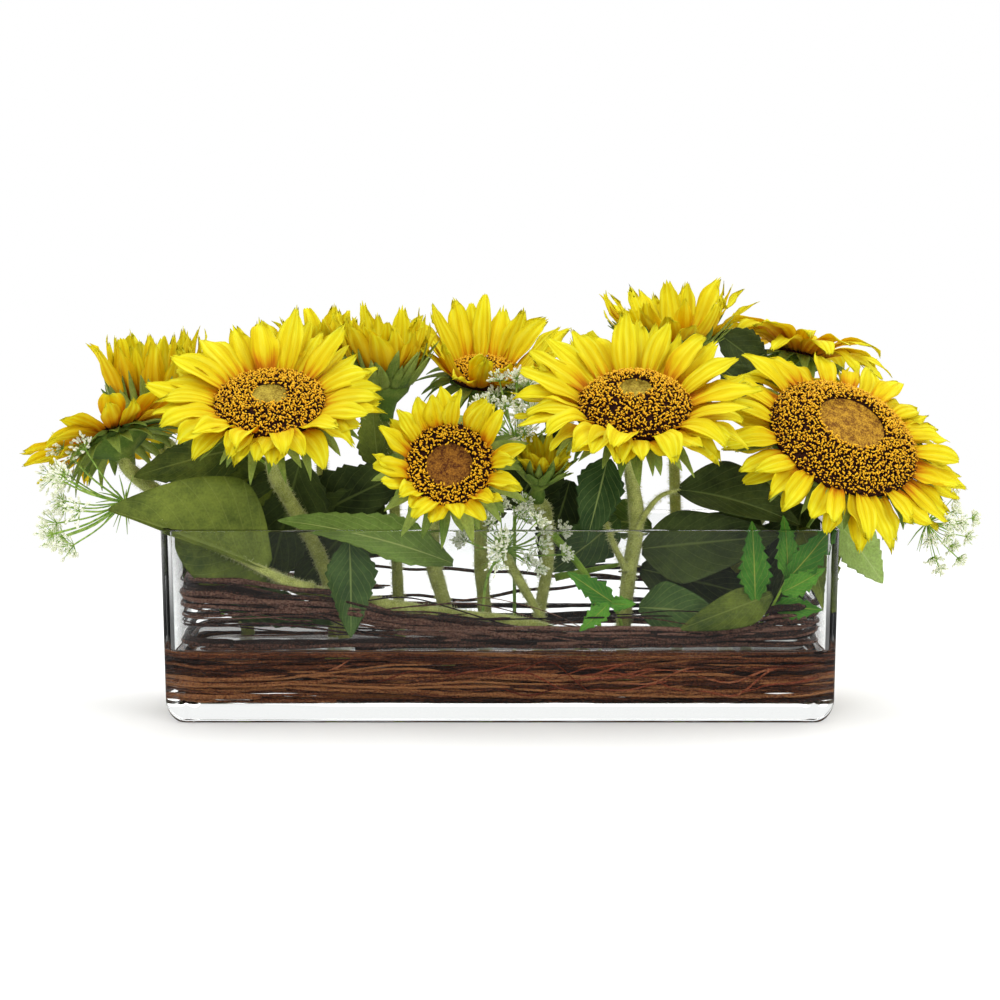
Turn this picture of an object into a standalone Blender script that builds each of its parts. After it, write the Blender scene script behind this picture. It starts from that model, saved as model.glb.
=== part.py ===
"""Sunflowers in a glass trough.

A long clear trough stands on its flat base. Set water fills its lower third, vine twigs are laid
round the inside of its walls, and eleven sunflowers, loose leaves and sprays of lace stand in it.
Metres, +Z up, +X along the trough, -Y to the front. The origin is the middle of the base's underside.
"""

import math
from collections import namedtuple

import bmesh
import bpy
from mathutils import Matrix, Vector

MM = 0.001

# Trough
LENGTH = 356 * MM
WIDTH = 102 * MM
HEIGHT = 102 * MM
WALL = 5.5 * MM
BASE = 9.5 * MM
TAPER = 1.6 * MM  # how far each wall stands further in at the base than at the rim
CORNER = 12 * MM
FOOT_ROUND = 10.5 * MM
RIM_ROUND = 1.2 * MM

# Gap kept between pieces that touch
GAP = 0.3 * MM

# Set water
WATER_TOP = 37.4 * MM

# Vine twigs: heights of the full turns and the size of a bundle of twigs
VINE_RADIUS = 3.2 * MM
WET_TURNS = (14.6 * MM, 22.2 * MM, 29.8 * MM)
DRY_TURNS = (42.6 * MM,)
VINE_POINTS = 34
VINE_WOBBLE = 0.35 * MM
VINE_CORNER = 16 * MM

# Stems
STEM_RADIUS = 4.0 * MM
STEM_FOOT = 13.5 * MM
PETAL_THICKNESS = 0.9 * MM
LEAF_THICKNESS = 0.8 * MM

# A flower: the middle of its disc, the way it faces (turn from the front towards +X, rise from level),
# disc radius, petal length, slope of the petals where they start and end, their number, calyx depth,
# and the places its stem passes on the way down to its foot in the water.
Flower = namedtuple("Flower", "name middle turn rise disc petal start end count calyx route")

FLOWERS = (
    Flower("far_left_back", (-190, 54, 172), -40, 80, 16, 35, 62, 72, 12, 17,
           ((-186, 56, 138), (-166, 38, 112), (-150, 33, 80), (-140, 30, 40))),
    Flower("far_left_low", (-207, 2, 147), -135, 60, 17, 36, 14, 10, 12, 14,
           ((-187, 8, 117), (-174, 13, 110), (-156, 8, 98), (-132, -18, 80),
            (-100, -32, 68), (-40, -33, 57), (20, -31, 48), (42, -26, 32))),
    Flower("left_front", (-121, -40, 168), 0, 58, 29, 35, 20, 5, 16, 14,
           ((-120, -14, 128), (-108, -6, 104), (-96, -4, 80), (-84, -4, 40))),
    Flower("back_left_outer", (-99, 44, 182), -10, 82, 10, 34, 66, 82, 10, 16,
           ((-99, 42, 150), (-98, 36, 110), (-94, 30, 60), (-92, 28, 40))),
    Flower("back_left_inner", (-62, 22, 178), 10, 82, 13, 36, 66, 84, 10, 20,
           ((-60, 24, 145), (-58, 22, 110), (-56, 22, 60), (-55, 22, 40))),
    Flower("back_middle", (-5, 48, 188), 8, 60, 16, 31, 42, 26, 12, 14,
           ((-9, 60, 160), (-12, 40, 120), (-10, 30, 70), (-8, 27, 40))),
    Flower("front_middle", (-27, -62, 137), -3, 25, 23, 21, 44, 24, 14, 12,
           ((-34, -28, 112), (-36, -18, 84), (-30, -10, 58), (-28, -8, 40))),
    Flower("right_middle", (70, -43, 166), 0, 60, 29.5, 36, 18, 2, 16, 14,
           ((70, -20, 128), (73, -14, 102), (69, -12, 74), (66, -10, 40))),
    Flower("back_right", (96, 50, 194), -20, 80, 16, 38, 40, 50, 12, 18,
           ((96, 46, 160), (97, 36, 110), (98, 30, 60), (98, 28, 40))),
    Flower("far_right_back", (172, 79, 190), 112, 62, 14, 38, 18, -14, 12, 16,
           ((160, 72, 160), (146, 52, 124), (140, 34, 90), (136, 28, 40))),
    Flower("right_front", (183, -18, 147), 25, 46, 41, 30, 8, -12, 18, 16,
           ((166, 14, 126), (150, 14, 112), (130, 6, 84), (122, 2, 40))),
    Flower("bud", (21, -28, 134), 15, 66, 8, 24, 58, 72, 8, 13,
           ((24, -16, 110), (26, -8, 84), (22, -2, 56), (20, 0, 40))),
)

# A leaf: where its stalk starts, its tip, its width, the way its middle faces, and how far it arches.
Leaf = namedtuple("Leaf", "name start tip width face arch")

LEAVES = (
    Leaf("over_left_rim", (-150, -22, 101), (-203, -31, 107), 36, (0.1, -0.35, 0.93), 9),
    Leaf("under_left_flower", (-114, -28, 120), (-142, -38, 84), 26, (-0.2, -0.9, 0.3), 4),
    Leaf("left_shade", (-88, 8, 104), (-58, 4, 134), 26, (0.1, -0.9, 0.4), 4),
    Leaf("front_serrated", (-44, -30, 88), (-112, -38, 106), 22, (0.1, -0.75, 0.6), 5),
    Leaf("hanging_left", (-70, -41, 84), (-76, -41, 58), 18, (0.1, -0.99, 0.0), 1),
    Leaf("hanging_middle", (52, -34, 138), (44, -38, 94), 22, (-0.1, -0.95, 0.1), 3),
    Leaf("under_right_flower", (92, -14, 118), (158, -34, 124), 28, (0.0, -0.6, 0.75), 6),
    Leaf("big_dark", (88, -20, 94), (138, -32, 84), 34, (0.1, -0.85, 0.45), 5),
    Leaf("round_dark", (80, -24, 60), (112, -33, 59), 20, (0.1, -0.8, 0.5), 3),
    Leaf("bright_right", (142, -20, 62), (162, -34, 108), 26, (0.1, -0.95, 0.1), 4),
    Leaf("bright_middle", (40, -36, 70), (66, -36, 62), 16, (0.1, -0.9, 0.3), 2),
    Leaf("outside_right", (186, 14, 108), (206, 18, 76), 16, (0.5, -0.8, 0.3), 4),
)

# A lace spray: the point its rays leave from, the way it faces, ray length, rays, stalk places.
Spray = namedtuple("Spray", "name hub face reach spread rays route")

SPRAYS = (
    Spray("left", (-214, -14, 114), (-0.95, -0.3, 0.0), 38, 44, 6,
          ((-198, -6, 113), (-184, -1, 111), (-170, -1, 107), (-158, -5, 92), (-150, 0, 56))),
    Spray("back_middle", (10, 6, 146), (-0.1, 0.0, 1.0), 24, 58, 6,
          ((10, 10, 130), (8, 16, 100), (8, 20, 56))),
    Spray("front_middle", (-5, -25, 90), (0.1, -0.1, 1.0), 20, 58, 6,
          ((-6, -23, 80), (-8, -20, 68), (-10, -16, 56))),
    Spray("right", (228, -14, 100), (0.9, -0.2, 0.1), 22, 50, 5,
          ((208, -10, 103), (186, -6, 106), (166, -6, 100), (158, -2, 60))),
)
RAY_RADIUS = 0.8 * MM
STALK_RADIUS = 1.4 * MM
FLORET_RADIUS = 6.0 * MM
HUB_RADIUS = 3.0 * MM


def clear_scene():
    for thing in list(bpy.data.objects):
        bpy.data.objects.remove(thing)


def collection(name):
    made = bpy.data.collections.new(name)
    bpy.context.scene.collection.children.link(made)
    return made


def finish(name, colour, roughness, alpha=1.0):
    """A plain Principled material."""
    made = bpy.data.materials.new(name)
    made.use_nodes = True
    shader = made.node_tree.nodes["Principled BSDF"]
    shader.inputs["Base Color"].default_value = (*colour, 1.0)
    shader.inputs["Roughness"].default_value = roughness
    shader.inputs["Metallic"].default_value = 0.0
    shader.inputs["Alpha"].default_value = alpha
    return made


def place(name, data, where, material=None):
    """An object for this mesh or curve, in the given collection."""
    made = bpy.data.objects.new(name, data)
    where.objects.link(made)
    if material is not None:
        data.materials.append(material)
    return made


def mesh_from(bm, name):
    bmesh.ops.recalc_face_normals(bm, faces=bm.faces)
    mesh = bpy.data.meshes.new(name)
    bm.to_mesh(mesh)
    bm.free()
    return mesh


def hide_as_cutter(thing):
    thing.hide_render = True
    thing.display_type = "WIRE"


def cut(thing, cutter):
    step = thing.modifiers.new("cut " + cutter.name, "BOOLEAN")
    step.operation = "DIFFERENCE"
    step.solver = "EXACT"
    step.object = cutter


def tapered(bm):
    """Draws the walls in towards the base, as the trough was drawn from its mould."""
    for v in bm.verts:
        inward = TAPER * (1 - v.co.z / HEIGHT)
        v.co.x *= 1 - inward / (LENGTH / 2)
        v.co.y *= 1 - inward / (WIDTH / 2)


def upright(edge):
    a, b = edge.verts
    return abs(a.co.z - b.co.z) > abs(a.co.x - b.co.x) + abs(a.co.y - b.co.y)


def level_edges(bm, height):
    return [e for e in bm.edges if all(abs(v.co.z - height) < 1e-6 for v in e.verts)]


def round_off(bm, edges, offset, segments):
    bmesh.ops.bevel(bm, geom=edges, offset=offset, segments=segments, profile=0.5, affect="EDGES", material=-1)


def block(length, width, bottom, top, corner):
    """An upright block with rounded vertical corners."""
    bm = bmesh.new()
    size = Matrix.Diagonal((length, width, top - bottom, 1))
    bmesh.ops.create_cube(bm, size=1, matrix=Matrix.Translation((0, 0, (top + bottom) / 2)) @ size)
    round_off(bm, [e for e in bm.edges if upright(e)], corner, 4)
    return bm


def make_trough(parts, cutters, glass):
    shell = block(LENGTH, WIDTH, 0, HEIGHT, CORNER)
    round_off(shell, level_edges(shell, 0), FOOT_ROUND, 3)
    round_off(shell, level_edges(shell, HEIGHT), RIM_ROUND, 1)
    tapered(shell)
    hollow = block(LENGTH - 2 * WALL, WIDTH - 2 * WALL, BASE, HEIGHT + 10 * MM, CORNER - WALL / 2)
    tapered(hollow)
    trough = place("trough", mesh_from(shell, "trough"), parts, glass)
    cavity = place("trough cavity", mesh_from(hollow, "trough cavity"), cutters)
    hide_as_cutter(cavity)
    cut(trough, cavity)


def frame_at(middle, turn, rise):
    """A matrix whose Z faces the way a flower faces, and whose X is level."""
    turn, rise = math.radians(turn), math.radians(rise)
    z = Vector((math.cos(rise) * math.sin(turn), -math.cos(rise) * math.cos(turn), math.sin(rise)))
    x = Vector((math.cos(turn), math.sin(turn), 0))
    y = z.cross(x)
    turned = Matrix((x, y, z)).transposed().to_4x4()
    return Matrix.Translation(Vector(middle) * MM) @ turned


def curve_through(points, steps):
    """Points on a smooth curve through the given ones."""
    ends = [2 * points[0] - points[1], *points, 2 * points[-1] - points[-2]]
    found = []
    for a, b, c, d in zip(ends, ends[1:], ends[2:], ends[3:]):
        for i in range(steps):
            t = i / steps
            found.append(0.5 * (2 * b + (c - a) * t + (2 * a - 5 * b + 4 * c - d) * t**2
                                + (3 * b - a - 3 * c + d) * t**3))
    return found + [points[-1]]


def tube(name, runs, where, material=None, closed=False):
    """A curve object whose splines are runs of (point, radius)."""
    curve = bpy.data.curves.new(name, "CURVE")
    curve.dimensions = "3D"
    curve.bevel_depth = MM
    curve.bevel_resolution = 1
    curve.use_fill_caps = True
    for run in runs:
        spline = curve.splines.new("POLY")
        spline.points.add(len(run) - 1)
        spline.use_cyclic_u = closed
        for knot, (point, radius) in zip(spline.points, run):
            knot.co = (*point, 1)
            knot.radius = radius / MM
    return place(name, curve, where, material)


def solid_from(thing, where):
    """The same tube as a welded mesh, in place of the curve object."""
    bpy.context.view_layer.update()
    ready = thing.evaluated_get(bpy.context.evaluated_depsgraph_get())
    mesh = bpy.data.meshes.new_from_object(ready)
    bm = bmesh.new()
    bm.from_mesh(mesh)
    bmesh.ops.remove_doubles(bm, verts=bm.verts, dist=0.00001)
    bm.to_mesh(mesh)
    bm.free()
    name, seat = thing.name, thing.matrix_world.copy()
    bpy.data.objects.remove(thing)
    made = place(name, mesh, where)
    made.matrix_world = seat
    return made


def wall_path(share, height, inset):
    """A point on the rounded rectangle that runs this far inside the walls, share of the way round."""
    taper = TAPER * (1 - height / HEIGHT)
    half_x = LENGTH / 2 - WALL - taper - inset
    half_y = WIDTH / 2 - WALL - taper - inset
    run_x, run_y = 2 * (half_x - VINE_CORNER), 2 * (half_y - VINE_CORNER)
    arc = math.pi / 2 * VINE_CORNER
    along = (share % 1) * 2 * (run_x + run_y + 2 * arc)
    x, y, heading = -half_x + VINE_CORNER, -half_y, 0.0
    for run in (run_x, run_y, run_x, run_y):
        forward = Vector((math.cos(heading), math.sin(heading), 0))
        left = Vector((-math.sin(heading), math.cos(heading), 0))
        here = Vector((x, y, height))
        if along < run:
            return here + forward * along
        along -= run
        here += forward * run
        angle = min(along, arc) / VINE_CORNER
        bent = here + forward * VINE_CORNER * math.sin(angle) + left * VINE_CORNER * (1 - math.cos(angle))
        if along < arc:
            return bent
        along -= arc
        x, y, heading = bent.x, bent.y, heading + math.pi / 2
    return Vector((x, y, height))


def vine_turn(height, radius, start=0.0, end=1.0, climb=0.0):
    """A run of (point, radius) round the walls. climb lifts its middle."""
    count = round(VINE_POINTS * (end - start))
    run = []
    for i in range(count):
        share = i / count if end - start == 1 else i / (count - 1)
        along = start + (end - start) * share
        wobble = VINE_WOBBLE * math.sin(along * 2 * math.pi * 7 + height * 900)
        lift = climb * math.sin(math.pi * share)
        point = wall_path(along, height + wobble + lift, VINE_RADIUS + GAP + abs(wobble))
        run.append((point, radius))
    return run


def make_vines(parts, bark_wet, bark_dry):
    """Full turns, then a loop at each end that stands clear above them."""
    wet = [(f"vine_wet_{i + 1}", vine_turn(height, VINE_RADIUS)) for i, height in enumerate(WET_TURNS)]
    for name, run in wet:
        tube(name, [run], parts, bark_wet, closed=True)
    for i, height in enumerate(DRY_TURNS):
        tube(f"vine_dry_{i + 1}", [vine_turn(height, VINE_RADIUS)], parts, bark_dry, closed=True)
    loop_height = DRY_TURNS[-1] + 2.6 * VINE_RADIUS
    left = vine_turn(loop_height, VINE_RADIUS, 0.76, 1.09, climb=9 * MM)
    right = vine_turn(loop_height, VINE_RADIUS, 0.32, 0.62, climb=12 * MM)
    tube("vine_loop_left", [left], parts, bark_dry)
    tube("vine_loop_right", [right], parts, bark_dry)
    return wet


def stem_run(flower, extra=0.0):
    """A run of (point, radius): the calyx under the disc, then the stem down to its foot."""
    seat = frame_at(flower.middle, flower.turn, flower.rise)
    disc = flower.disc * MM
    depth = flower.calyx * MM
    cup = ((-1.5 * MM, disc * 0.86), (-depth * 0.35, disc * 0.80), (-depth * 0.75, disc * 0.42),
           (-depth, STEM_RADIUS * 1.1))
    run = [(seat @ Vector((0, 0, down)), radius + extra) for down, radius in cup]
    below = seat @ Vector((0, 0, -depth - 6 * MM))
    route = [Vector(p) * MM for p in flower.route]
    foot = Vector((route[-1].x, route[-1].y, STEM_FOOT - extra))
    run += [(p, STEM_RADIUS + extra) for p in curve_through([below, *route, foot], 2)]
    return run


def make_water(parts, cutters, water, wet_vines):
    """A block that fills the trough's foot, with a channel for every twig and stem in it."""
    inside = block(LENGTH - 2 * (WALL + GAP), WIDTH - 2 * (WALL + GAP), BASE + GAP, WATER_TOP, CORNER - WALL / 2)
    tapered(inside)
    pool = place("water", mesh_from(inside, "water"), parts, water)
    runs = [(name, [(p, r + GAP) for p, r in run], True) for name, run in wet_vines]
    runs += [(f"stem_{f.name}", stem_run(f, GAP), False) for f in FLOWERS]
    for name, run, closed in runs:
        channel = solid_from(tube(f"channel {name}", [run], cutters, closed=closed), cutters)
        hide_as_cutter(channel)
        cut(pool, channel)


def make_petals(flower, parts, material):
    """One star of petals: a ring drawn outwards, its outer edge cut in between the tips."""
    seat = frame_at(flower.middle, flower.turn, flower.rise)
    radius = (flower.disc + 0.5) * MM
    length = flower.petal * MM
    bm = bmesh.new()
    ring = bmesh.ops.create_circle(bm, cap_ends=False, radius=radius, segments=2 * flower.count)
    edges = list({e for v in ring["verts"] for e in v.link_edges})
    height, reach = 0.0, radius
    steps = (0.5, 0.5)
    for i, share in enumerate(steps):
        slope = math.radians(flower.start + (flower.end - flower.start) * (i + 0.5) / len(steps))
        reach += length * share * math.cos(slope)
        height += length * share * math.sin(slope)
        grown = bmesh.ops.extrude_edge_only(bm, edges=edges)["geom"]
        edges = [g for g in grown if isinstance(g, bmesh.types.BMEdge)]
        last = i == len(steps) - 1
        for v in (g for g in grown if isinstance(g, bmesh.types.BMVert)):
            angle = math.atan2(v.co.y, v.co.x)
            notch = last and round(angle / (math.pi / flower.count)) % 2
            outwards = reach - notch * 0.3 * length * math.cos(slope)
            upwards = height - notch * 0.3 * length * math.sin(slope)
            v.co = (math.cos(angle) * outwards, math.sin(angle) * outwards, upwards)
    bmesh.ops.transform(bm, matrix=seat, verts=bm.verts)
    star = place(f"petals_{flower.name}", mesh_from(bm, "petals"), parts, material)
    sheet = star.modifiers.new("thickness", "SOLIDIFY")
    sheet.thickness = PETAL_THICKNESS
    sheet.offset = 0


def make_disc(flower, parts, material):
    """The dome of florets: a low round cap with a shallow underside."""
    bm = bmesh.new()
    bmesh.ops.create_uvsphere(bm, u_segments=14, v_segments=6, radius=flower.disc * MM)
    for v in bm.verts:
        v.co.z *= 0.34 if v.co.z > 0 else 0.9 * MM / (flower.disc * MM)
    bmesh.ops.transform(bm, matrix=frame_at(flower.middle, flower.turn, flower.rise), verts=bm.verts)
    place(f"disc_{flower.name}", mesh_from(bm, "disc"), parts, material)


def make_flowers(parts, yellow, brown, green):
    for flower in FLOWERS:
        make_petals(flower, parts, yellow)
        if flower.name != "bud":
            make_disc(flower, parts, brown)
        tube(f"stem_{flower.name}", [stem_run(flower)], parts, green)


def make_leaves(parts, green):
    """Each leaf is a small grid, widest before its middle, arched along its length."""
    for leaf in LEAVES:
        start, tip = Vector(leaf.start) * MM, Vector(leaf.tip) * MM
        along = tip - start
        side = along.cross(Vector(leaf.face)).normalized()
        out = side.cross(along).normalized()
        bm = bmesh.new()
        bmesh.ops.create_grid(bm, x_segments=2, y_segments=5, size=1)
        for v in bm.verts:
            share = (v.co.y + 1) / 2
            half = leaf.width / 2 * MM * (0.12 + 0.88 * math.sin(math.pi * share**0.8) ** 0.8)
            lift = leaf.arch * MM * math.sin(math.pi * share) - 0.12 * abs(v.co.x) * half
            v.co = start + along * share + side * v.co.x * half + out * lift
        blade = place(f"leaf_{leaf.name}", mesh_from(bm, "leaf"), parts, green)
        sheet = blade.modifiers.new("thickness", "SOLIDIFY")
        sheet.thickness = LEAF_THICKNESS
        sheet.offset = 0


def make_sprays(parts, cutters, lace):
    """Rays spread from a hub on a thin stalk, each ending in a flat tuft, all joined into one piece."""
    for spray in SPRAYS:
        hub = Vector(spray.hub) * MM
        tilt = Vector(spray.face).to_track_quat("Z", "Y")
        runs = []
        for i in range(spray.rays):
            lean = math.radians(spray.spread) * math.sqrt(i / (spray.rays - 1))
            swing = i * math.radians(137.5)
            way = tilt @ Vector((math.sin(lean) * math.cos(swing), math.sin(lean) * math.sin(swing), math.cos(lean)))
            reach = spray.reach * MM
            shape = ((0.0, RAY_RADIUS), (reach * 0.8, RAY_RADIUS), (reach * 0.9, FLORET_RADIUS * 0.8),
                     (reach, FLORET_RADIUS), (reach + 2 * MM, FLORET_RADIUS * 0.5))
            runs.append([(hub + way * far, radius) for far, radius in shape])
        stalk = curve_through([hub, *(Vector(p) * MM for p in spray.route)], 2)
        runs.append([(p, STALK_RADIUS) for p in stalk])
        bm = bmesh.new()
        bmesh.ops.create_icosphere(bm, subdivisions=1, radius=HUB_RADIUS, matrix=Matrix.Translation(hub))
        made = place(f"lace_{spray.name}", mesh_from(bm, "lace"), parts, lace)
        for i, run in enumerate(runs):
            limb = solid_from(tube(f"lace {spray.name} {i}", [run], cutters), cutters)
            hide_as_cutter(limb)
            step = made.modifiers.new("join " + limb.name, "BOOLEAN")
            step.operation = "UNION"
            step.solver = "EXACT"
            step.object = limb


def main():
    clear_scene()
    parts = collection("sunflowers in a trough")
    cutters = collection("cutters")
    make_trough(parts, cutters, finish("clear_glass", (0.93, 0.96, 0.96), 0.02, 0.35))
    bark_wet = finish("wet_vine", (0.12, 0.035, 0.018), 0.35)
    bark_dry = finish("dry_vine", (0.06, 0.03, 0.022), 0.6)
    wet_vines = make_vines(parts, bark_wet, bark_dry)
    make_water(parts, cutters, finish("set_water", (0.95, 0.97, 0.97), 0.02, 0.3), wet_vines)
    yellow = finish("petal", (0.88, 0.58, 0.01), 0.55)
    brown = finish("florets", (0.12, 0.05, 0.01), 0.8)
    green = finish("stem", (0.32, 0.36, 0.14), 0.7)
    make_flowers(parts, yellow, brown, green)
    make_leaves(parts, finish("leaf", (0.06, 0.13, 0.03), 0.55))
    make_sprays(parts, cutters, finish("lace", (0.72, 0.76, 0.55), 0.8))


main()
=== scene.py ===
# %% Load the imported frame
import math
import random
from collections import namedtuple

import bmesh
import bpy
from mathutils import Matrix, Vector, noise


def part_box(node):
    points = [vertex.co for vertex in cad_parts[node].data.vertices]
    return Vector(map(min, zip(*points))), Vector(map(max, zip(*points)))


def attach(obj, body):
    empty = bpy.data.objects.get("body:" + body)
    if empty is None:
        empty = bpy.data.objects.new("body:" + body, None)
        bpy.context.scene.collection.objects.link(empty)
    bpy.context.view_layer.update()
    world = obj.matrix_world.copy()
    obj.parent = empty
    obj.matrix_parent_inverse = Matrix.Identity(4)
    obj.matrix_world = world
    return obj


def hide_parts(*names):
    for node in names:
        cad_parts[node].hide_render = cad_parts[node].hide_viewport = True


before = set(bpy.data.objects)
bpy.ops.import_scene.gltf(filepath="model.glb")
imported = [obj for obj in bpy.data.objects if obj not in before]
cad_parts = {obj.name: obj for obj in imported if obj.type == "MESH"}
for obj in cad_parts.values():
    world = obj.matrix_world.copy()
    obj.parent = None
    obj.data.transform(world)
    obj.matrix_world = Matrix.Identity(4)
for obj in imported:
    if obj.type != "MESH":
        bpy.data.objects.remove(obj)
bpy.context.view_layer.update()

MM = 0.001

# %% [markdown]
# The object is a low table arrangement: artificial sunflowers, leaves and lace flowers in a long clear
# trough, with brown vine twigs coiled round the inside and clear set "water" at the bottom. The packed
# frame holds plain solids for the main parts, and each of them gets its visible surface below. The finest
# things, such as sepals, single florets, leaf stalks and most of the leaves, are made only here.
#
# Every piece is a mesh made with bmesh operators and left at the origin, so that its place is in its
# mesh. This first helper turns a bmesh into such a piece, and hides the frame's solids that it stands for.


# %% Turn a bmesh into a piece of the object
def make_piece(name, bm, materials, stands_for=(), smooth=True):
    mesh = bpy.data.meshes.new(name)
    bm.to_mesh(mesh)
    bm.free()
    for material in materials:
        mesh.materials.append(material)
    mesh.polygons.foreach_set("use_smooth", [smooth] * len(mesh.polygons))
    piece = bpy.data.objects.new(name, mesh)
    bpy.context.scene.collection.objects.link(piece)
    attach(piece, "root")
    nodes = [node for node in stands_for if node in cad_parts]
    if nodes:
        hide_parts(*nodes)
    return piece


def give_thickness(piece, thickness, back_slot=0):
    """A wall on both sides of an open sheet. back_slot moves the far side to another material."""
    wall = piece.modifiers.new("thickness", "SOLIDIFY")
    wall.thickness = thickness
    wall.offset = 0
    wall.material_offset = back_slot
    return piece


# %% [markdown]
# A material is a small graph of nodes. Short helpers keep each material readable. They add a node and
# link its inputs, add a colour ramp or cloudy noise, and start a Principled material whose constant
# values are set straight on the shader's sockets, where an exporter can read them.


# %% Helpers for material graphs
def add_node(tree, kind, inputs=None, **settings):
    made = tree.nodes.new(kind)
    for key, value in settings.items():
        setattr(made, key, value)
    for key, value in (inputs or {}).items():
        if isinstance(value, bpy.types.NodeSocket):
            tree.links.new(value, made.inputs[key])
        else:
            made.inputs[key].default_value = value
    return made


def calculate(tree, operation, first, second=0.0, third=0.0):
    made = add_node(tree, "ShaderNodeMath", {0: first, 1: second, 2: third}, operation=operation)
    return made.outputs[0]


def stretch_range(tree, value, low, high, to_low, to_high):
    """Moves the range low..high onto to_low..to_high and stops at its ends."""
    made = add_node(tree, "ShaderNodeMapRange", {0: value, 1: low, 2: high, 3: to_low, 4: to_high})
    return made.outputs[0]


def scaled(tree, place, scale):
    return add_node(tree, "ShaderNodeMapping", {0: place, "Scale": scale}).outputs[0]


def mottle(tree, place, scale, detail, roughness=0.5):
    """Cloudy noise, finer as the scale grows."""
    made = add_node(tree, "ShaderNodeTexNoise", {"Vector": place, "Scale": scale, "Detail": detail,
                                                 "Roughness": roughness})
    return made.outputs[0]


def own_place(tree):
    return add_node(tree, "ShaderNodeTexCoord").outputs["Object"]


def stored(tree, name):
    """A number that was stored with the mesh, one value per point."""
    return add_node(tree, "ShaderNodeAttribute", attribute_name=name).outputs["Fac"]


def colour_ramp(tree, factor, stops, interpolation="LINEAR"):
    made = add_node(tree, "ShaderNodeValToRGB", {0: factor})
    band = made.color_ramp
    band.interpolation = interpolation
    while len(band.elements) < len(stops):
        band.elements.new(0.5)
    for element, (place, colour) in zip(band.elements, stops):
        element.position = place
        element.color = (*colour, 1)
    return made.outputs[0]


def blend_colours(tree, factor, first, second, how="MIX"):
    made = add_node(tree, "ShaderNodeMix", data_type="RGBA", blend_type=how)
    for key, value in ((0, factor), (6, first), (7, second)):
        if isinstance(value, bpy.types.NodeSocket):
            tree.links.new(value, made.inputs[key])
        else:
            made.inputs[key].default_value = value if key == 0 else (*value, 1)
    return made.outputs[2]


def start_material(name, **sockets):
    material = bpy.data.materials.new(name)
    material.use_nodes = True
    tree = material.node_tree
    shader = tree.nodes["Principled BSDF"]
    for key, value in sockets.items():
        shader.inputs[key.replace("_", " ")].default_value = value
    return material, tree, shader


def paint(tree, shader, colour):
    tree.links.new(colour, shader.inputs["Base Color"])


def add_bump(tree, shader, height, strength, distance):
    bump = add_node(tree, "ShaderNodeBump", {"Height": height, "Strength": strength, "Distance": distance})
    tree.links.new(bump.outputs[0], shader.inputs["Normal"])


def mix_surfaces(tree, share, first, second):
    """The surface is the first shader, and the second one in this share."""
    both = add_node(tree, "ShaderNodeMixShader", {0: share, 1: first.outputs[0], 2: second.outputs[0]})
    tree.links.new(both.outputs[0], tree.nodes["Material Output"].inputs["Surface"])


def add_glow_through(tree, shader, colour, share):
    """Lets a share of the light that falls on the far side of a thin sheet come through it."""
    mix_surfaces(tree, share, shader, add_node(tree, "ShaderNodeBsdfTranslucent", {"Color": colour}))


# %% [markdown]
# The petals are printed cloth. Each is orange where it leaves the disc and turns to a strong lemon
# yellow, with fine streaks and pleats along its length, and painted shade in the pleats' valleys and painted
# light on their ridges. The pattern follows the petal, so it is read from the petal's own UV map: U runs
# across and V runs from base to tip. A "tone" attribute, one value per petal, keeps neighbours from looking
# alike. The far side gets a ramp of its own, mostly brighter and more orange than the face's: painted light
# that lifts the undersides, which lie in shade.


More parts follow.
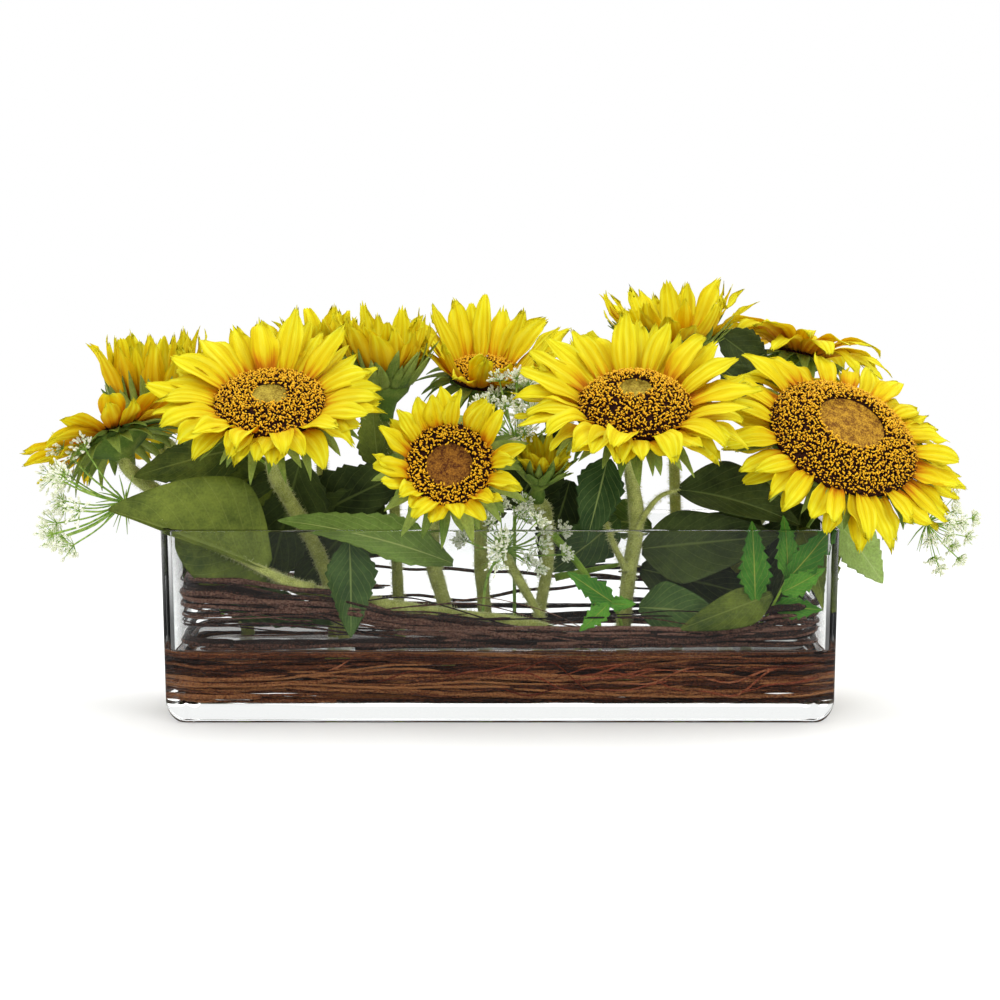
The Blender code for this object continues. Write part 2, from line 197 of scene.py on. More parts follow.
# %% Petal cloth
def petal_cloth(name, stops, sheer):
    material, tree, shader = start_material(name, Roughness=0.75, Specular_IOR_Level=0.12)
    across_along = add_node(tree, "ShaderNodeUVMap", uv_map="UVMap").outputs[0]
    tone = stored(tree, "tone")
    across, along, _ = add_node(tree, "ShaderNodeSeparateXYZ", {0: across_along}).outputs
    far_tone = calculate(tree, "MULTIPLY", tone, 37.0)
    shift = add_node(tree, "ShaderNodeCombineXYZ", {0: tone, 1: tone, 2: far_tone}).outputs[0]
    placed = add_node(tree, "ShaderNodeVectorMath", {0: across_along, 1: shift}, operation="ADD").outputs[0]
    streak = mottle(tree, scaled(tree, placed, (9, 0.9, 9)), 1.6, 3.0)
    cloud = mottle(tree, scaled(tree, placed, (2.2, 1.6, 9)), 1.5, 2.0)
    # Pleats run along the petal; each petal has its own number of them, and they wander a little.
    ripple = calculate(tree, "MULTIPLY_ADD", tone, 3.0, calculate(tree, "MULTIPLY", cloud, 3.0))
    pleats = calculate(tree, "MULTIPLY_ADD", tone, 14.0, 9.0)
    fold = calculate(tree, "COSINE", calculate(tree, "MULTIPLY_ADD", across, pleats, ripple))
    # The printed colour changes along the petal, further out on some streaks and some petals.
    waver = calculate(tree, "MULTIPLY_ADD", fold, 0.06, -0.17)
    wander = calculate(tree, "MULTIPLY_ADD", streak, 0.34, waver)
    ageing = calculate(tree, "MULTIPLY_ADD", tone, 0.24, -0.12)
    reach = calculate(tree, "ADD", along, calculate(tree, "ADD", wander, ageing))
    colour = colour_ramp(tree, reach, stops)
    lift = colour_ramp(tree, cloud, ((0.3, (0.90, 0.85, 0.75)), (0.68, (1.03, 1.06, 1.6))))
    colour = blend_colours(tree, 0.8, colour, lift, "MULTIPLY")
    # Painted light and shade: the colour is darker in the pleats' valleys and lighter and more lemon on their
    # ridges, mixed with the printed streaks.
    lines = calculate(tree, "MULTIPLY_ADD", streak, 3.0, -1.5)
    pleat_shading_and_streaks = calculate(tree, "MULTIPLY_ADD", fold, 0.7, lines)
    crease_shade_and_streak_tint = colour_ramp(tree, calculate(tree, "MULTIPLY_ADD", pleat_shading_and_streaks, 0.5, 0.5),
                         ((0.0, (0.90, 0.83, 0.6)), (0.3, (0.97, 0.95, 0.85)),
                          (0.55, (1, 1, 1)), (0.95, (1.02, 1.06, 3.5))))
    colour = blend_colours(tree, 1.0, colour, crease_shade_and_streak_tint, "MULTIPLY")
    paint(tree, shader, colour)
    add_bump(tree, shader, calculate(tree, "MULTIPLY_ADD", fold, 0.05, streak), 0.6, 0.0012)
    add_glow_through(tree, shader, colour, sheer)
    return material


PETAL_FACE = petal_cloth("petal_face", ((0.0, (0.68, 0.22, 0.003)), (0.10, (0.80, 0.42, 0.002)),
                                        (0.26, (0.85, 0.69, 0.004)), (0.75, (0.87, 0.81, 0.012))), 0.3)
# The far side: painted light, a ramp mostly brighter and more orange than the face's, to lift undersides that
# lie in shade.
PETAL_BACK_PAINTED_LIGHT = petal_cloth("petal_back", ((0.0, (0.46, 0.34, 0.01)), (0.12, (0.90, 0.36, 0.005)),
                                        (0.42, (0.95, 0.64, 0.005)), (0.9, (0.95, 0.84, 0.012))), 0.45)
print("petal cloth:", PETAL_FACE.name, PETAL_BACK_PAINTED_LIGHT.name)

# %% [markdown]
# Leaves are printed cloth too. A midrib runs up the middle of the UV map and side veins leave it at a
# slant, so a sawtooth of V minus a share of the distance from the midrib draws them all. The same lines
# press the cloth down, which gives the quilted look of a real leaf.


# %% Leaf cloth
def leaf_cloth(name, shade, light, vein, vein_share=0.55, veins=9, sheer=0.12):
    material, tree, shader = start_material(name, Roughness=0.6, Specular_IOR_Level=0.2)
    across_along = add_node(tree, "ShaderNodeUVMap", uv_map="UVMap").outputs[0]
    across, along, _ = add_node(tree, "ShaderNodeSeparateXYZ", {0: across_along}).outputs
    from_rib = calculate(tree, "ABSOLUTE", calculate(tree, "SUBTRACT", across, 0.5))
    slant = calculate(tree, "MULTIPLY_ADD", from_rib, -0.75, along)
    phase = calculate(tree, "FRACT", calculate(tree, "MULTIPLY", slant, float(veins)))
    side = calculate(tree, "ABSOLUTE", calculate(tree, "SUBTRACT", phase, 0.5))
    side_line = stretch_range(tree, side, 0.0, 0.07, 1.0, 0.0)
    rib_line = stretch_range(tree, from_rib, 0.008, 0.028, 1.0, 0.0)
    line = calculate(tree, "MAXIMUM", calculate(tree, "MULTIPLY", side_line, 0.5), rib_line)
    place = own_place(tree)
    grain = mottle(tree, place, 900.0, 2.0)
    patch = calculate(tree, "MULTIPLY_ADD", mottle(tree, place, 55.0, 6.0, 0.65), 1.8, -0.45)
    own = calculate(tree, "MULTIPLY_ADD", stored(tree, "tone"), 0.5, -0.2)
    colour = colour_ramp(tree, calculate(tree, "ADD", patch, own), ((0.2, shade), (0.8, light)))
    speck = colour_ramp(tree, grain, ((0.3, (0.75, 0.75, 0.75)), (0.7, (1.15, 1.15, 1.1))))
    colour = blend_colours(tree, 0.7, colour, speck, "MULTIPLY")
    colour = blend_colours(tree, calculate(tree, "MULTIPLY", line, vein_share), colour, vein)
    paint(tree, shader, colour)
    quilt = calculate(tree, "SUBTRACT", calculate(tree, "MULTIPLY", grain, 0.15), line)
    add_bump(tree, shader, quilt, 0.5, 0.0006)
    add_glow_through(tree, shader, colour, sheer)
    return material


LEAF_LOOKS = {
    "dark": leaf_cloth("leaf_dark", (0.022, 0.038, 0.009), (0.075, 0.110, 0.024), (0.18, 0.24, 0.06), 0.65),
    "olive": leaf_cloth("leaf_olive", (0.052, 0.082, 0.010), (0.20, 0.255, 0.034), (0.30, 0.36, 0.08), 0.5),
    "mid": leaf_cloth("leaf_mid", (0.080, 0.140, 0.024), (0.210, 0.330, 0.062), (0.52, 0.60, 0.18), 0.8),
    "green": leaf_cloth("leaf_green", (0.026, 0.064, 0.013), (0.080, 0.150, 0.034), (0.30, 0.38, 0.11), 0.8),
    "bright": leaf_cloth("leaf_bright", (0.05, 0.20, 0.016), (0.13, 0.38, 0.035), (0.45, 0.46, 0.07), 0.8, 8),
    "pale": leaf_cloth("leaf_pale", (0.52, 0.66, 0.26), (0.68, 0.80, 0.40), (0.76, 0.84, 0.5), 0.6, 8, 0.6),
}
SEPAL_CLOTH = leaf_cloth("sepal_cloth", (0.15, 0.26, 0.04), (0.44, 0.54, 0.11), (0.54, 0.62, 0.18), 0.35, 5,
                         0.35)
print("leaf cloths:", ", ".join(LEAF_LOOKS))

# %% [markdown]
# Petals, sepals and leaves are one shape with different numbers: a strip that starts at a base, bends
# through an arc, and narrows to a point. Each starts as a grid, whose own UVs are kept, and its points
# are then moved onto the strip. The outline swells to its widest place and falls to the tip. The cross
# section is cupped and pleated, and the edges ripple.
#
# length and width are its size, slope_in and slope_out the angles it starts and ends at, and curl bends
# the end further. base, widest, end and taper set the outline, and cup, pleat and ripple the cross
# section. sway and twist bend and turn it sideways, and notch frays its end.
Strip = namedtuple("Strip", "length width slope_in slope_out base widest end taper cup pleat ripple "
                            "curl sway twist notch")


# %% Shape a strip of cloth
def outline(strip, along):
    """Half width at a share of the length."""
    if along < strip.widest:
        swell = math.sin(math.pi / 2 * along / strip.widest)
        return strip.width / 2 * (strip.base + (1 - strip.base) * swell)
    fall = (along - strip.widest) / (1 - strip.widest)
    return strip.width / 2 * (strip.end + (1 - strip.end) * max(1 - fall**strip.taper, 0.0) ** 0.9)


def spine_of(strip, steps):
    """Places (out, up, slope) along the middle of the strip."""
    out, up, found = 0.0, 0.0, []
    for i in range(steps + 1):
        part = i / steps
        bend = (strip.slope_out - strip.slope_in) * part
        slope = math.radians(strip.slope_in + bend + strip.curl * part**4)
        found.append((out, up, slope))
        out += strip.length / steps * math.cos(slope)
        up += strip.length / steps * math.sin(slope)
    return found


def add_strip(bm, strip, seat, columns, rows, tone, teeth=0, seed=0.0, bite=0.08):
    """A grid moved onto the strip. seat has its Y outwards along the strip, X across and Z up from it."""
    made = bmesh.ops.create_grid(bm, x_segments=columns, y_segments=rows, size=0.5, calc_uvs=True)
    spine = spine_of(strip, rows)
    shade = bm.verts.layers.float["tone"]
    for v in made["verts"]:
        across, along = v.co.x * 2, v.co.y + 0.5
        out, up, slope = spine[round(along * rows)]
        half = outline(strip, along)
        if teeth:
            half *= 1 + bite * abs(across) ** 3 * (1 - 2 * ((along * teeth) % 1)) * min(1, 6 * (1 - along))
        x = across * half
        full = 2 * half / strip.width
        rise = strip.cup * half * across**2 + full * strip.pleat * math.cos(across * 3 * math.pi + 3 * tone)
        wave = math.sin(along * 11 + seed * 20 + (3 if across > 0 else 0)) * (0.4 + along)
        rise += full * strip.ripple * across**2 * wave
        turn = strip.twist * along
        x, rise = x * math.cos(turn) - rise * math.sin(turn), x * math.sin(turn) + rise * math.cos(turn)
        x += strip.sway * along**2
        back = strip.length * along**6 * strip.notch * (abs(math.sin(across * 1.5 * math.pi)) + across**2)
        y = out - rise * math.sin(slope) - back * math.cos(slope)
        z = up + rise * math.cos(slope) - back * math.sin(slope)
        v.co = seat @ Vector((x, y, z))
        v[shade] = tone
    return made["verts"]


def sheet_bmesh():
    bm = bmesh.new()
    bm.loops.layers.uv.new("UVMap")
    bm.verts.layers.float.new("tone")
    return bm


# %% [markdown]
# Each flower is set by a few numbers, in millimetres and degrees: the middle of its disc, the way it
# faces (turn sideways, rise upwards), the disc's radius, the length of a ray petal, the slope of the
# petals at their start and end, the lift of the upper ones against the lower ones, how many rays there
# are in a row, the height of the dome, the size and depth of the eye in its middle, how deep the calyx
# is, and the places that its stem passes. Nine of the eleven open or half open discs lie within 4 mm of
# their solids in the frame. The far left back and back middle ones lie 11 to 13 mm from theirs, because
# they were set again.
Flower = namedtuple("Flower", "name middle turn rise disc petal start end lift rays dome eye pit calyx route")

FLOWERS = (
    Flower("far_left_back", (-192, 54, 160), -30, 86, 22, 41, 78, 92, 0, 15, 3, 0.4, 1, 20,
           ((-186, 56, 138), (-166, 38, 112), (-150, 33, 80), (-140, 30, 40))),
    Flower("far_left_low", (-207, 2, 147), -128, 60, 17, 38, 10, -2, 0.1, 13, 4, 0.4, 1, 14,
           ((-187, 8, 117), (-174, 13, 110), (-156, 8, 98), (-132, -18, 80),
            (-100, -32, 68), (-40, -33, 57), (20, -31, 48), (42, -26, 32))),
    Flower("left_front", (-120, -40, 167), 0, 58, 29, 36.5, 26, -4, 0.9, 14, 6, 0.32, 1.0, 14,
           ((-120, -14, 128), (-108, -6, 104), (-96, -4, 80), (-84, -4, 40))),
    Flower("back_left_outer", (-99, 44, 182), -10, 82, 10, 34, 58, 84, 0, 10, 2, 0.4, 1, 16,
           ((-99, 42, 150), (-98, 36, 110), (-94, 30, 60), (-92, 28, 40))),
    Flower("back_left_inner", (-62, 22, 178), 10, 82, 13, 38, 60, 84, 0, 12, 2, 0.4, 1, 20,
           ((-60, 24, 145), (-58, 22, 110), (-56, 22, 60), (-55, 22, 40))),
    Flower("back_middle", (-9, 46, 178), 8, 67, 19, 38, 50, 50, 0.1, 13, 4, 0.35, 1, 14,
           ((-9, 60, 160), (-12, 40, 120), (-10, 30, 70), (-8, 27, 40))),
    Flower("front_middle", (-26, -62, 137), -3, 27, 23, 24, 56, 24, 0.4, 13, 1, 0.52, 3.0, 12,
           ((-34, -28, 112), (-36, -18, 84), (-30, -10, 58), (-28, -8, 40))),
    Flower("right_middle", (70, -43, 165), 0, 60, 29.5, 39, 27, -4, 1, 15, 14, 0.30, 3.5, 14,
           ((70, -20, 128), (73, -14, 102), (69, -12, 74), (66, -10, 40))),
    Flower("back_right", (96, 50, 194), -20, 80, 16, 40, 44, 62, 0, 14, 3, 0.4, 1, 18,
           ((96, 46, 160), (97, 36, 110), (98, 30, 60), (98, 28, 40))),
    Flower("far_right_back", (170, 77, 188), 112, 76, 14, 43, 44, -44, 0, 14, 3, 0.4, 1, 16,
           ((160, 72, 160), (146, 52, 124), (140, 34, 90), (136, 28, 40))),
    Flower("right_front", (182, -18, 147), 25, 48, 41, 32.5, 10, -14, -0.5, 18, 15, 0.45, 4.0, 16,
           ((166, 14, 126), (150, 14, 112), (130, 6, 84), (122, 2, 40))),
    Flower("bud", (21, -28, 130), 15, 66, 7, 20, 56, 76, 0, 9, 2, 0.4, 0.5, 13,
           ((24, -16, 110), (26, -8, 84), (22, -2, 56), (20, 0, 40))),
)


def seat_of(flower):
    """A matrix whose Z faces the way the flower faces, and whose X is level."""
    turn, rise = math.radians(flower.turn), math.radians(flower.rise)
    z = Vector((math.cos(rise) * math.sin(turn), -math.cos(rise) * math.cos(turn), math.sin(rise)))
    x = Vector((math.cos(turn), math.sin(turn), 0))
    turned = Matrix((x, z.cross(x), z)).transposed().to_4x4()
    return Matrix.Translation(Vector(flower.middle) * MM) @ turned


def spoke(seat, angle, radius, height):
    """The seat of a strip that leaves the disc's edge at this angle."""
    outwards = Vector((math.cos(angle), math.sin(angle), 0))
    across = Vector((math.sin(angle), -math.cos(angle), 0))
    turned = Matrix((across, outwards, Vector((0, 0, 1)))).transposed().to_4x4()
    return seat @ Matrix.Translation(outwards * radius + Vector((0, 0, height))) @ turned


# %% [markdown]
# Ray petals grow in two rows, and in three on the largest flowers, each row showing between the petals
# of the one in front. Chance changes each one's length, slope, sway and twist a little, from a seed of
# the flower's own. Petals that point down hang a little, as cloth does.


# %% Ray petals
ROW_SLOPES = (5, -9, -20)


def make_ray_petals(flower):
    luck = random.Random("rays " + flower.name)
    seat = seat_of(flower)
    tilt = min(math.cos(math.radians(flower.rise)), 0.6) * flower.lift
    bm = sheet_bmesh()
    full = 0.5 * (flower.disc + flower.petal)
    width = min(2 * math.pi * full / flower.rays, 0.47 * flower.petal)
    for row, row_slope in enumerate(ROW_SLOPES if flower.disc > 25 else ROW_SLOPES[:2]):
        for i in range(flower.rays):
            angle = 2 * math.pi * (i + 0.5 * row + luck.uniform(-0.25, 0.25)) / flower.rays
            upper, lower = max(math.sin(angle), 0) * tilt, max(-math.sin(angle), 0) * tilt
            strip = Strip(
                length=flower.petal * MM * luck.uniform(0.84, 1.08) * (1 - 0.4 * max(lower, 0)),
                width=width * MM * luck.uniform(0.78, 1.1),
                slope_in=flower.start + row_slope + 22 * upper + 36 * lower + luck.uniform(-7, 7),
                slope_out=flower.end + 50 * upper - 40 * lower + luck.uniform(-24, 18),
                base=0.5, widest=luck.uniform(0.38, 0.52), end=luck.uniform(0.16, 0.42), taper=1.7,
                cup=luck.uniform(-0.1, 0.5), pleat=luck.uniform(0.0, 0.3) * MM,
                ripple=luck.uniform(0.3, 1.9) * MM, curl=luck.uniform(-45, 40), sway=luck.uniform(-5, 5) * MM,
                twist=luck.uniform(-0.5, 0.5), notch=luck.choice((0.03, 0.05, 0.08, 0.12)))
            start = spoke(seat, angle, (flower.disc - 1.5) * MM, (0.4 - 1.1 * row) * MM)
            add_strip(bm, strip, start, 6, 12, luck.random(), 0, luck.random())
    piece = make_piece(f"ray_petals_{flower.name}", bm, (PETAL_FACE, PETAL_BACK_PAINTED_LIGHT),
                       (f"petals_{flower.name}",))
    return give_thickness(piece, 0.25 * MM, 1)


for flower in FLOWERS:
    rays = make_ray_petals(flower)
print("ray petals: last flower has", len(rays.data.polygons), "faces")

# %% [markdown]
# The disc is a dome with a shallow eye in its middle. The dome is drawn inwards from a circle, ring by
# ring. Hundreds of tiny florets stand on it: dark brown at the foot, gold at the tip. One floret is made
# once and copied along the sunflower's own spiral, where each floret is turned by the golden angle from
# the one before and sits a little further out, so that they pack evenly.


# %% Floret and disc finishes
def floret_finish():
    material, tree, shader = start_material("floret_gold", Roughness=0.65, Specular_IOR_Level=0.2)
    own = calculate(tree, "MULTIPLY_ADD", stored(tree, "tone"), 0.3, -0.15)
    level = calculate(tree, "ADD", stored(tree, "height"), own)
    brown_to_gold = ((0.4, (0.018, 0.003, 0.002)), (0.62, (0.16, 0.035, 0.003)),
                     (0.80, (0.78, 0.38, 0.006)), (1.0, (0.88, 0.52, 0.02)))
    paint(tree, shader, colour_ramp(tree, level, brown_to_gold))
    return material


def dome_finish():
    material, tree, shader = start_material("dome_brown", Roughness=0.85, Specular_IOR_Level=0.15)
    grain = mottle(tree, own_place(tree), 700.0, 2.0)
    browns = ((0.35, (0.012, 0.002, 0.001)), (0.7, (0.045, 0.010, 0.004)))
    paint(tree, shader, colour_ramp(tree, grain, browns))
    add_bump(tree, shader, grain, 0.6, 0.0006)
    return material


def eye_finish(name, dark, light):
    material, tree, shader = start_material(name, Roughness=0.8, Specular_IOR_Level=0.15)
    place = own_place(tree)
    cells = add_node(tree, "ShaderNodeTexVoronoi", {"Vector": place, "Scale": 1100.0}).outputs[0]
    cloud = calculate(tree, "ADD", mottle(tree, place, 260.0, 4.0), 0.2)
    level = calculate(tree, "MULTIPLY_ADD", cells, -0.5, cloud)
    paint(tree, shader, colour_ramp(tree, level, ((0.25, dark), (0.75, light))))
    add_bump(tree, shader, cells, -0.8, 0.0008)
    return material


FLORET_GOLD = floret_finish()
DOME_BROWN = dome_finish()
EYES = {"right_front": eye_finish("eye_gold", (0.16, 0.06, 0.006), (0.62, 0.34, 0.025)),
        "front_middle": eye_finish("eye_brown", (0.075, 0.02, 0.004), (0.36, 0.15, 0.015))}
EYE_OLIVE = eye_finish("eye_olive", (0.20, 0.13, 0.01), (0.52, 0.40, 0.05))


# %% Floret dome
def dome_height(flower, share):
    """Height of the dome at a share of its radius."""
    crown = flower.dome * (1 - share**2.4) + 1.2
    dip = min(max((flower.eye - share) / 0.10 + 0.5, 0), 1)
    return (crown - flower.pit * dip * dip * (3 - 2 * dip)) * MM


def turned_shape(bm, profile, segments):
    """Draws a circle through a profile of (radius, height). A last radius of 0 closes it."""
    made = bmesh.ops.create_circle(bm, segments=segments, radius=profile[0][0])
    ring = made["verts"]
    for v in ring:
        v.co.z = profile[0][1]
    edges = list({e for v in ring for e in v.link_edges})
    every = list(ring)
    for (radius_in, _), (radius, height) in zip(profile, profile[1:]):
        if radius == 0:
            tip = bmesh.ops.contextual_create(bm, geom=edges)["faces"]
            poked = bmesh.ops.poke(bm, faces=tip)["verts"]
            for v in poked:
                v.co.z = height
            every += poked
            continue
        grown = bmesh.ops.extrude_edge_only(bm, edges=edges)["geom"]
        edges = [g for g in grown if isinstance(g, bmesh.types.BMEdge)]
        ring = [g for g in grown if isinstance(g, bmesh.types.BMVert)]
        for v in ring:
            v.co.x *= radius / radius_in
            v.co.y *= radius / radius_in
            v.co.z = height
        every += ring
    return every


def keep_as_mesh(name, bm):
    """A plain mesh that isn't a piece of the object itself."""
    mesh = bpy.data.meshes.new(name)
    bm.to_mesh(mesh)
    bm.free()
    return mesh


def floret_template():
    """One floret a unit high, 5 sides round, with its height along it kept as an attribute."""
    bm = bmesh.new()
    height = bm.verts.layers.float.new("height")
    bm.verts.layers.float.new("tone")
    turned_shape(bm, ((0.18, 0.0), (0.16, 0.5), (0.28, 0.82), (0.19, 1.0)), 5)
    top = [e for e in bm.edges if all(v.co.z > 0.99 for v in e.verts)]
    bmesh.ops.contextual_create(bm, geom=top)
    for v in bm.verts:
        v[height] = v.co.z
        v.co.x += 0.5 * v.co.z**3
    bmesh.ops.recalc_face_normals(bm, faces=bm.faces)
    return keep_as_mesh("floret", bm)


def scatter(bm, template, places, slot=0):
    """Adds a copy of the template mesh for each (matrix, tone), in the material of this slot."""
    own_faces = len(bm.faces)
    for matrix, tone in places:
        copy = template.copy()
        copy.transform(matrix)
        if "tone" in copy.attributes:
            copy.attributes["tone"].data.foreach_set("value", [tone] * len(copy.vertices))
        bm.from_mesh(copy)
        bpy.data.meshes.remove(copy)
    bm.faces.ensure_lookup_table()
    for face in bm.faces[own_faces:]:
        face.material_index = slot


FLORET = floret_template()
FLORET_GAP = 1.27 * MM
GOLDEN_ANGLE = math.radians(137.508)


def make_dome(flower):
    luck = random.Random("disc " + flower.name)
    seat = seat_of(flower)
    radius = flower.disc * MM
    shares = [1.0, 0.97, 0.92, 0.84, 0.74, 0.64, 0.55, flower.eye + 0.06, flower.eye, flower.eye - 0.05,
              flower.eye * 0.6, flower.eye * 0.3]
    profile = [(radius * 1.0, -1.0 * MM)] + [(radius * s, dome_height(flower, s)) for s in shares]
    bm = bmesh.new()
    turned_shape(bm, profile + [(0, dome_height(flower, 0))], 56)
    bmesh.ops.recalc_face_normals(bm, faces=bm.faces)
    for face in bm.faces:
        if face.calc_center_median().xy.length < flower.eye * radius * 1.02:
            face.material_index = 1
    bmesh.ops.transform(bm, matrix=seat, verts=bm.verts)
    eye = EYES.get(flower.name, EYE_OLIVE)
    make_piece(f"dome_{flower.name}", bm, (DOME_BROWN, eye), (f"disc_{flower.name}",))

    count = round(0.94 * (radius / FLORET_GAP) ** 2 * math.pi / 0.87)
    places = []
    for k in range(count):
        share = math.sqrt((k + 0.5) / count)
        angle = k * GOLDEN_ANGLE
        spot = Vector((math.cos(angle) * share, math.sin(angle) * share, 0)) * radius
        bare = 0.6 * noise.noise(spot * 160 + Vector((0, 0, flower.disc))) + 0.6 * noise.noise(spot * 420)
        if share < flower.eye or bare > 0.38:
            continue
        tall = (2.5 if share < 0.9 else 1.9) * luck.uniform(0.75, 1.2)
        lean = Matrix.Rotation(luck.uniform(0.0, 0.9), 4, (luck.uniform(-1, 1), luck.uniform(-1, 1), 0.001))
        outward = Matrix.Rotation((share - 0.55) * 0.9, 4, (-math.sin(angle), math.cos(angle), 0))
        spot.z = dome_height(flower, share) - 0.4 * MM
        size = Matrix.Diagonal((2.1 * MM * luck.uniform(0.7, 1.3), 1.6 * MM, tall * MM, 1))
        turned = Matrix.Rotation(luck.uniform(0, 2 * math.pi), 4, "Z")
        places.append((seat @ Matrix.Translation(spot) @ outward @ lean @ turned @ size,
                       luck.random() - 0.5 * max(share - 0.9, 0) / 0.1))
    bm = bmesh.new()
    bm.verts.layers.float.new("height")
    bm.verts.layers.float.new("tone")
    scatter(bm, FLORET, places)
    make_piece(f"florets_{flower.name}", bm, (FLORET_GOLD,))
    return len(places)


print("florets:", sum(make_dome(flower) for flower in FLOWERS))

# %% [markdown]
# Under each disc is the calyx, a green cup, and from it grow pointed green sepals that curl away behind
# the petals. On flowers that are still half closed they hug the outside of the petals instead.


# %% Calyx and sepals
def make_calyx(flower):
    luck = random.Random("calyx " + flower.name)
    seat = seat_of(flower)
    disc, depth = flower.disc * MM, flower.calyx * MM
    bm = sheet_bmesh()
    profile = ((disc * 0.97, -1.2 * MM), (disc * 1.04, -3 * MM), (disc * 0.92, -depth * 0.4),
               (disc * 0.45, -depth * 0.72), (4.3 * MM, -depth), (3.9 * MM, -depth - 4 * MM))
    bowl = turned_shape(bm, profile, 28)
    bmesh.ops.transform(bm, matrix=seat, verts=bowl)
    closed = flower.end > 55
    # The slopes at start and end, each with its change from the outer row to the inner one.
    slopes = (flower.start - 4, 5, flower.end - 6, 12) if closed else (-6, 12, -40, 20)
    count = flower.rays + (4 if closed else 2)
    for row in (0, 1):
        for i in range(count):
            angle = 2 * math.pi * (i + 0.5 * row + luck.uniform(-0.25, 0.25)) / count
            strip = Strip(
                length=(20 + 0.12 * flower.petal) * MM * luck.uniform(0.7, 1.1),
                width=luck.uniform(5.5, 8) * MM,
                slope_in=slopes[0] - slopes[1] * row,
                slope_out=slopes[2] - slopes[3] * row + luck.uniform(-20, 20),
                base=0.75, widest=0.25, end=0.03, taper=1.4, cup=0.35, pleat=0.12 * MM,
                ripple=luck.uniform(0, 0.6) * MM, curl=0, sway=luck.uniform(-2.5, 2.5) * MM,
                twist=luck.uniform(-0.4, 0.4), notch=0)
            ring = disc * (1.08 if closed else 0.95 - 0.1 * row)
            start = spoke(seat, angle, ring, (-2.2 - 2.0 * row) * MM)
            add_strip(bm, strip, start, 4, 7, luck.random(), 0, luck.random())
    piece = make_piece(f"calyx_{flower.name}", bm, (SEPAL_CLOTH,))
    return give_thickness(piece, 0.35 * MM)


for flower in FLOWERS:
    calyx = make_calyx(flower)
print("calyx: last has", len(calyx.data.polygons), "faces")

# %% [markdown]
# A stem is a tube along a smooth curve. A curve object with a bevel makes it, and it is then made a mesh
# so that it sits at the origin like the rest. The real stems are flocked: short pale hairs stand on
# them, so thin cones are scattered over the tube.


# %% Stem finish
def stem_finish(name, low, high, fuzz):
    material, tree, shader = start_material(name, Roughness=0.9, Specular_IOR_Level=0.15, Sheen_Weight=fuzz,
                                            Sheen_Roughness=0.5)
    place = own_place(tree)
    blotch = calculate(tree, "MULTIPLY", mottle(tree, place, 160.0, 4.0), 0.5)
    pits = mottle(tree, place, 1500.0, 2.0)
    level = calculate(tree, "MULTIPLY_ADD", pits, 0.6, blotch)
    paint(tree, shader, colour_ramp(tree, level, ((0.35, low), (0.72, high))))
    add_bump(tree, shader, pits, 0.8, 0.0008)
    return material


STEM_FUZZY = stem_finish("stem_fuzzy", (0.21, 0.24, 0.038), (0.62, 0.66, 0.20), 0.25)
STEM_SMOOTH = stem_finish("stem_smooth", (0.14, 0.28, 0.02), (0.34, 0.50, 0.06), 0.05)
HAIR_PALE = stem_finish("hair_pale", (0.52, 0.55, 0.20), (0.82, 0.84, 0.42), 0.2)


# %% Tubes along smooth curves
def curve_through(points, steps):
    """Points on a smooth curve through the given ones."""
    ends = [2 * points[0] - points[1], *points, 2 * points[-1] - points[-2]]
    found = []
    for a, b, c, d in zip(ends, ends[1:], ends[2:], ends[3:]):
        for i in range(steps):
            t = i / steps
            found.append(0.5 * (2 * b + (c - a) * t + (2 * a - 5 * b + 4 * c - d) * t**2
                                + (3 * b - a - 3 * c + d) * t**3))
    return found + [points[-1]]


def tubes_bmesh(runs, sides):
    """A bmesh of round tubes. Each run is a list of (point, radius)."""
    curve = bpy.data.curves.new("tubes", "CURVE")
    curve.dimensions = "3D"
    curve.bevel_depth = MM
    curve.bevel_resolution = (sides - 4) // 2
    curve.use_fill_caps = True
    for run in runs:
        spline = curve.splines.new("POLY")
        spline.points.add(len(run) - 1)
        for knot, (point, radius) in zip(spline.points, run):
            knot.co = (*point, 1)
            knot.radius = radius / MM
    holder = bpy.data.objects.new("tubes", curve)
    bpy.context.scene.collection.objects.link(holder)
    bpy.context.view_layer.update()
    mesh = bpy.data.meshes.new_from_object(holder.evaluated_get(bpy.context.evaluated_depsgraph_get()))
    bm = bmesh.new()
    bm.from_mesh(mesh)
    bmesh.ops.remove_doubles(bm, verts=bm.verts, dist=1e-6)
    bpy.data.objects.remove(holder)
    bpy.data.curves.remove(curve)
    bpy.data.meshes.remove(mesh)
    return bm


def give_islands_tone(bm, luck):
    """Every separate tube gets one tone of its own."""
    tone = bm.verts.layers.float.new("tone")
    seen = set()
    for first in bm.verts:
        if first in seen:
            continue
        value, todo = luck.random(), [first]
        seen.add(first)
        while todo:
            v = todo.pop()
            v[tone] = value
            for edge in v.link_edges:
                other = edge.other_vert(v)
                if other not in seen:
                    seen.add(other)
                    todo.append(other)
    return bm


def hair_template():
    bm = bmesh.new()
    bmesh.ops.create_cone(bm, segments=3, radius1=0.12 * MM, radius2=0.03 * MM, depth=1.7 * MM,
                          cap_ends=False)
    bmesh.ops.translate(bm, verts=bm.verts, vec=(0, 0, 0.8 * MM))
    return keep_as_mesh("hair", bm)


HAIR = hair_template()
STEM_RADIUS = 4.1 * MM
STEM_FOOT = 14 * MM
HAIRLESS_BELOW = 40 * MM


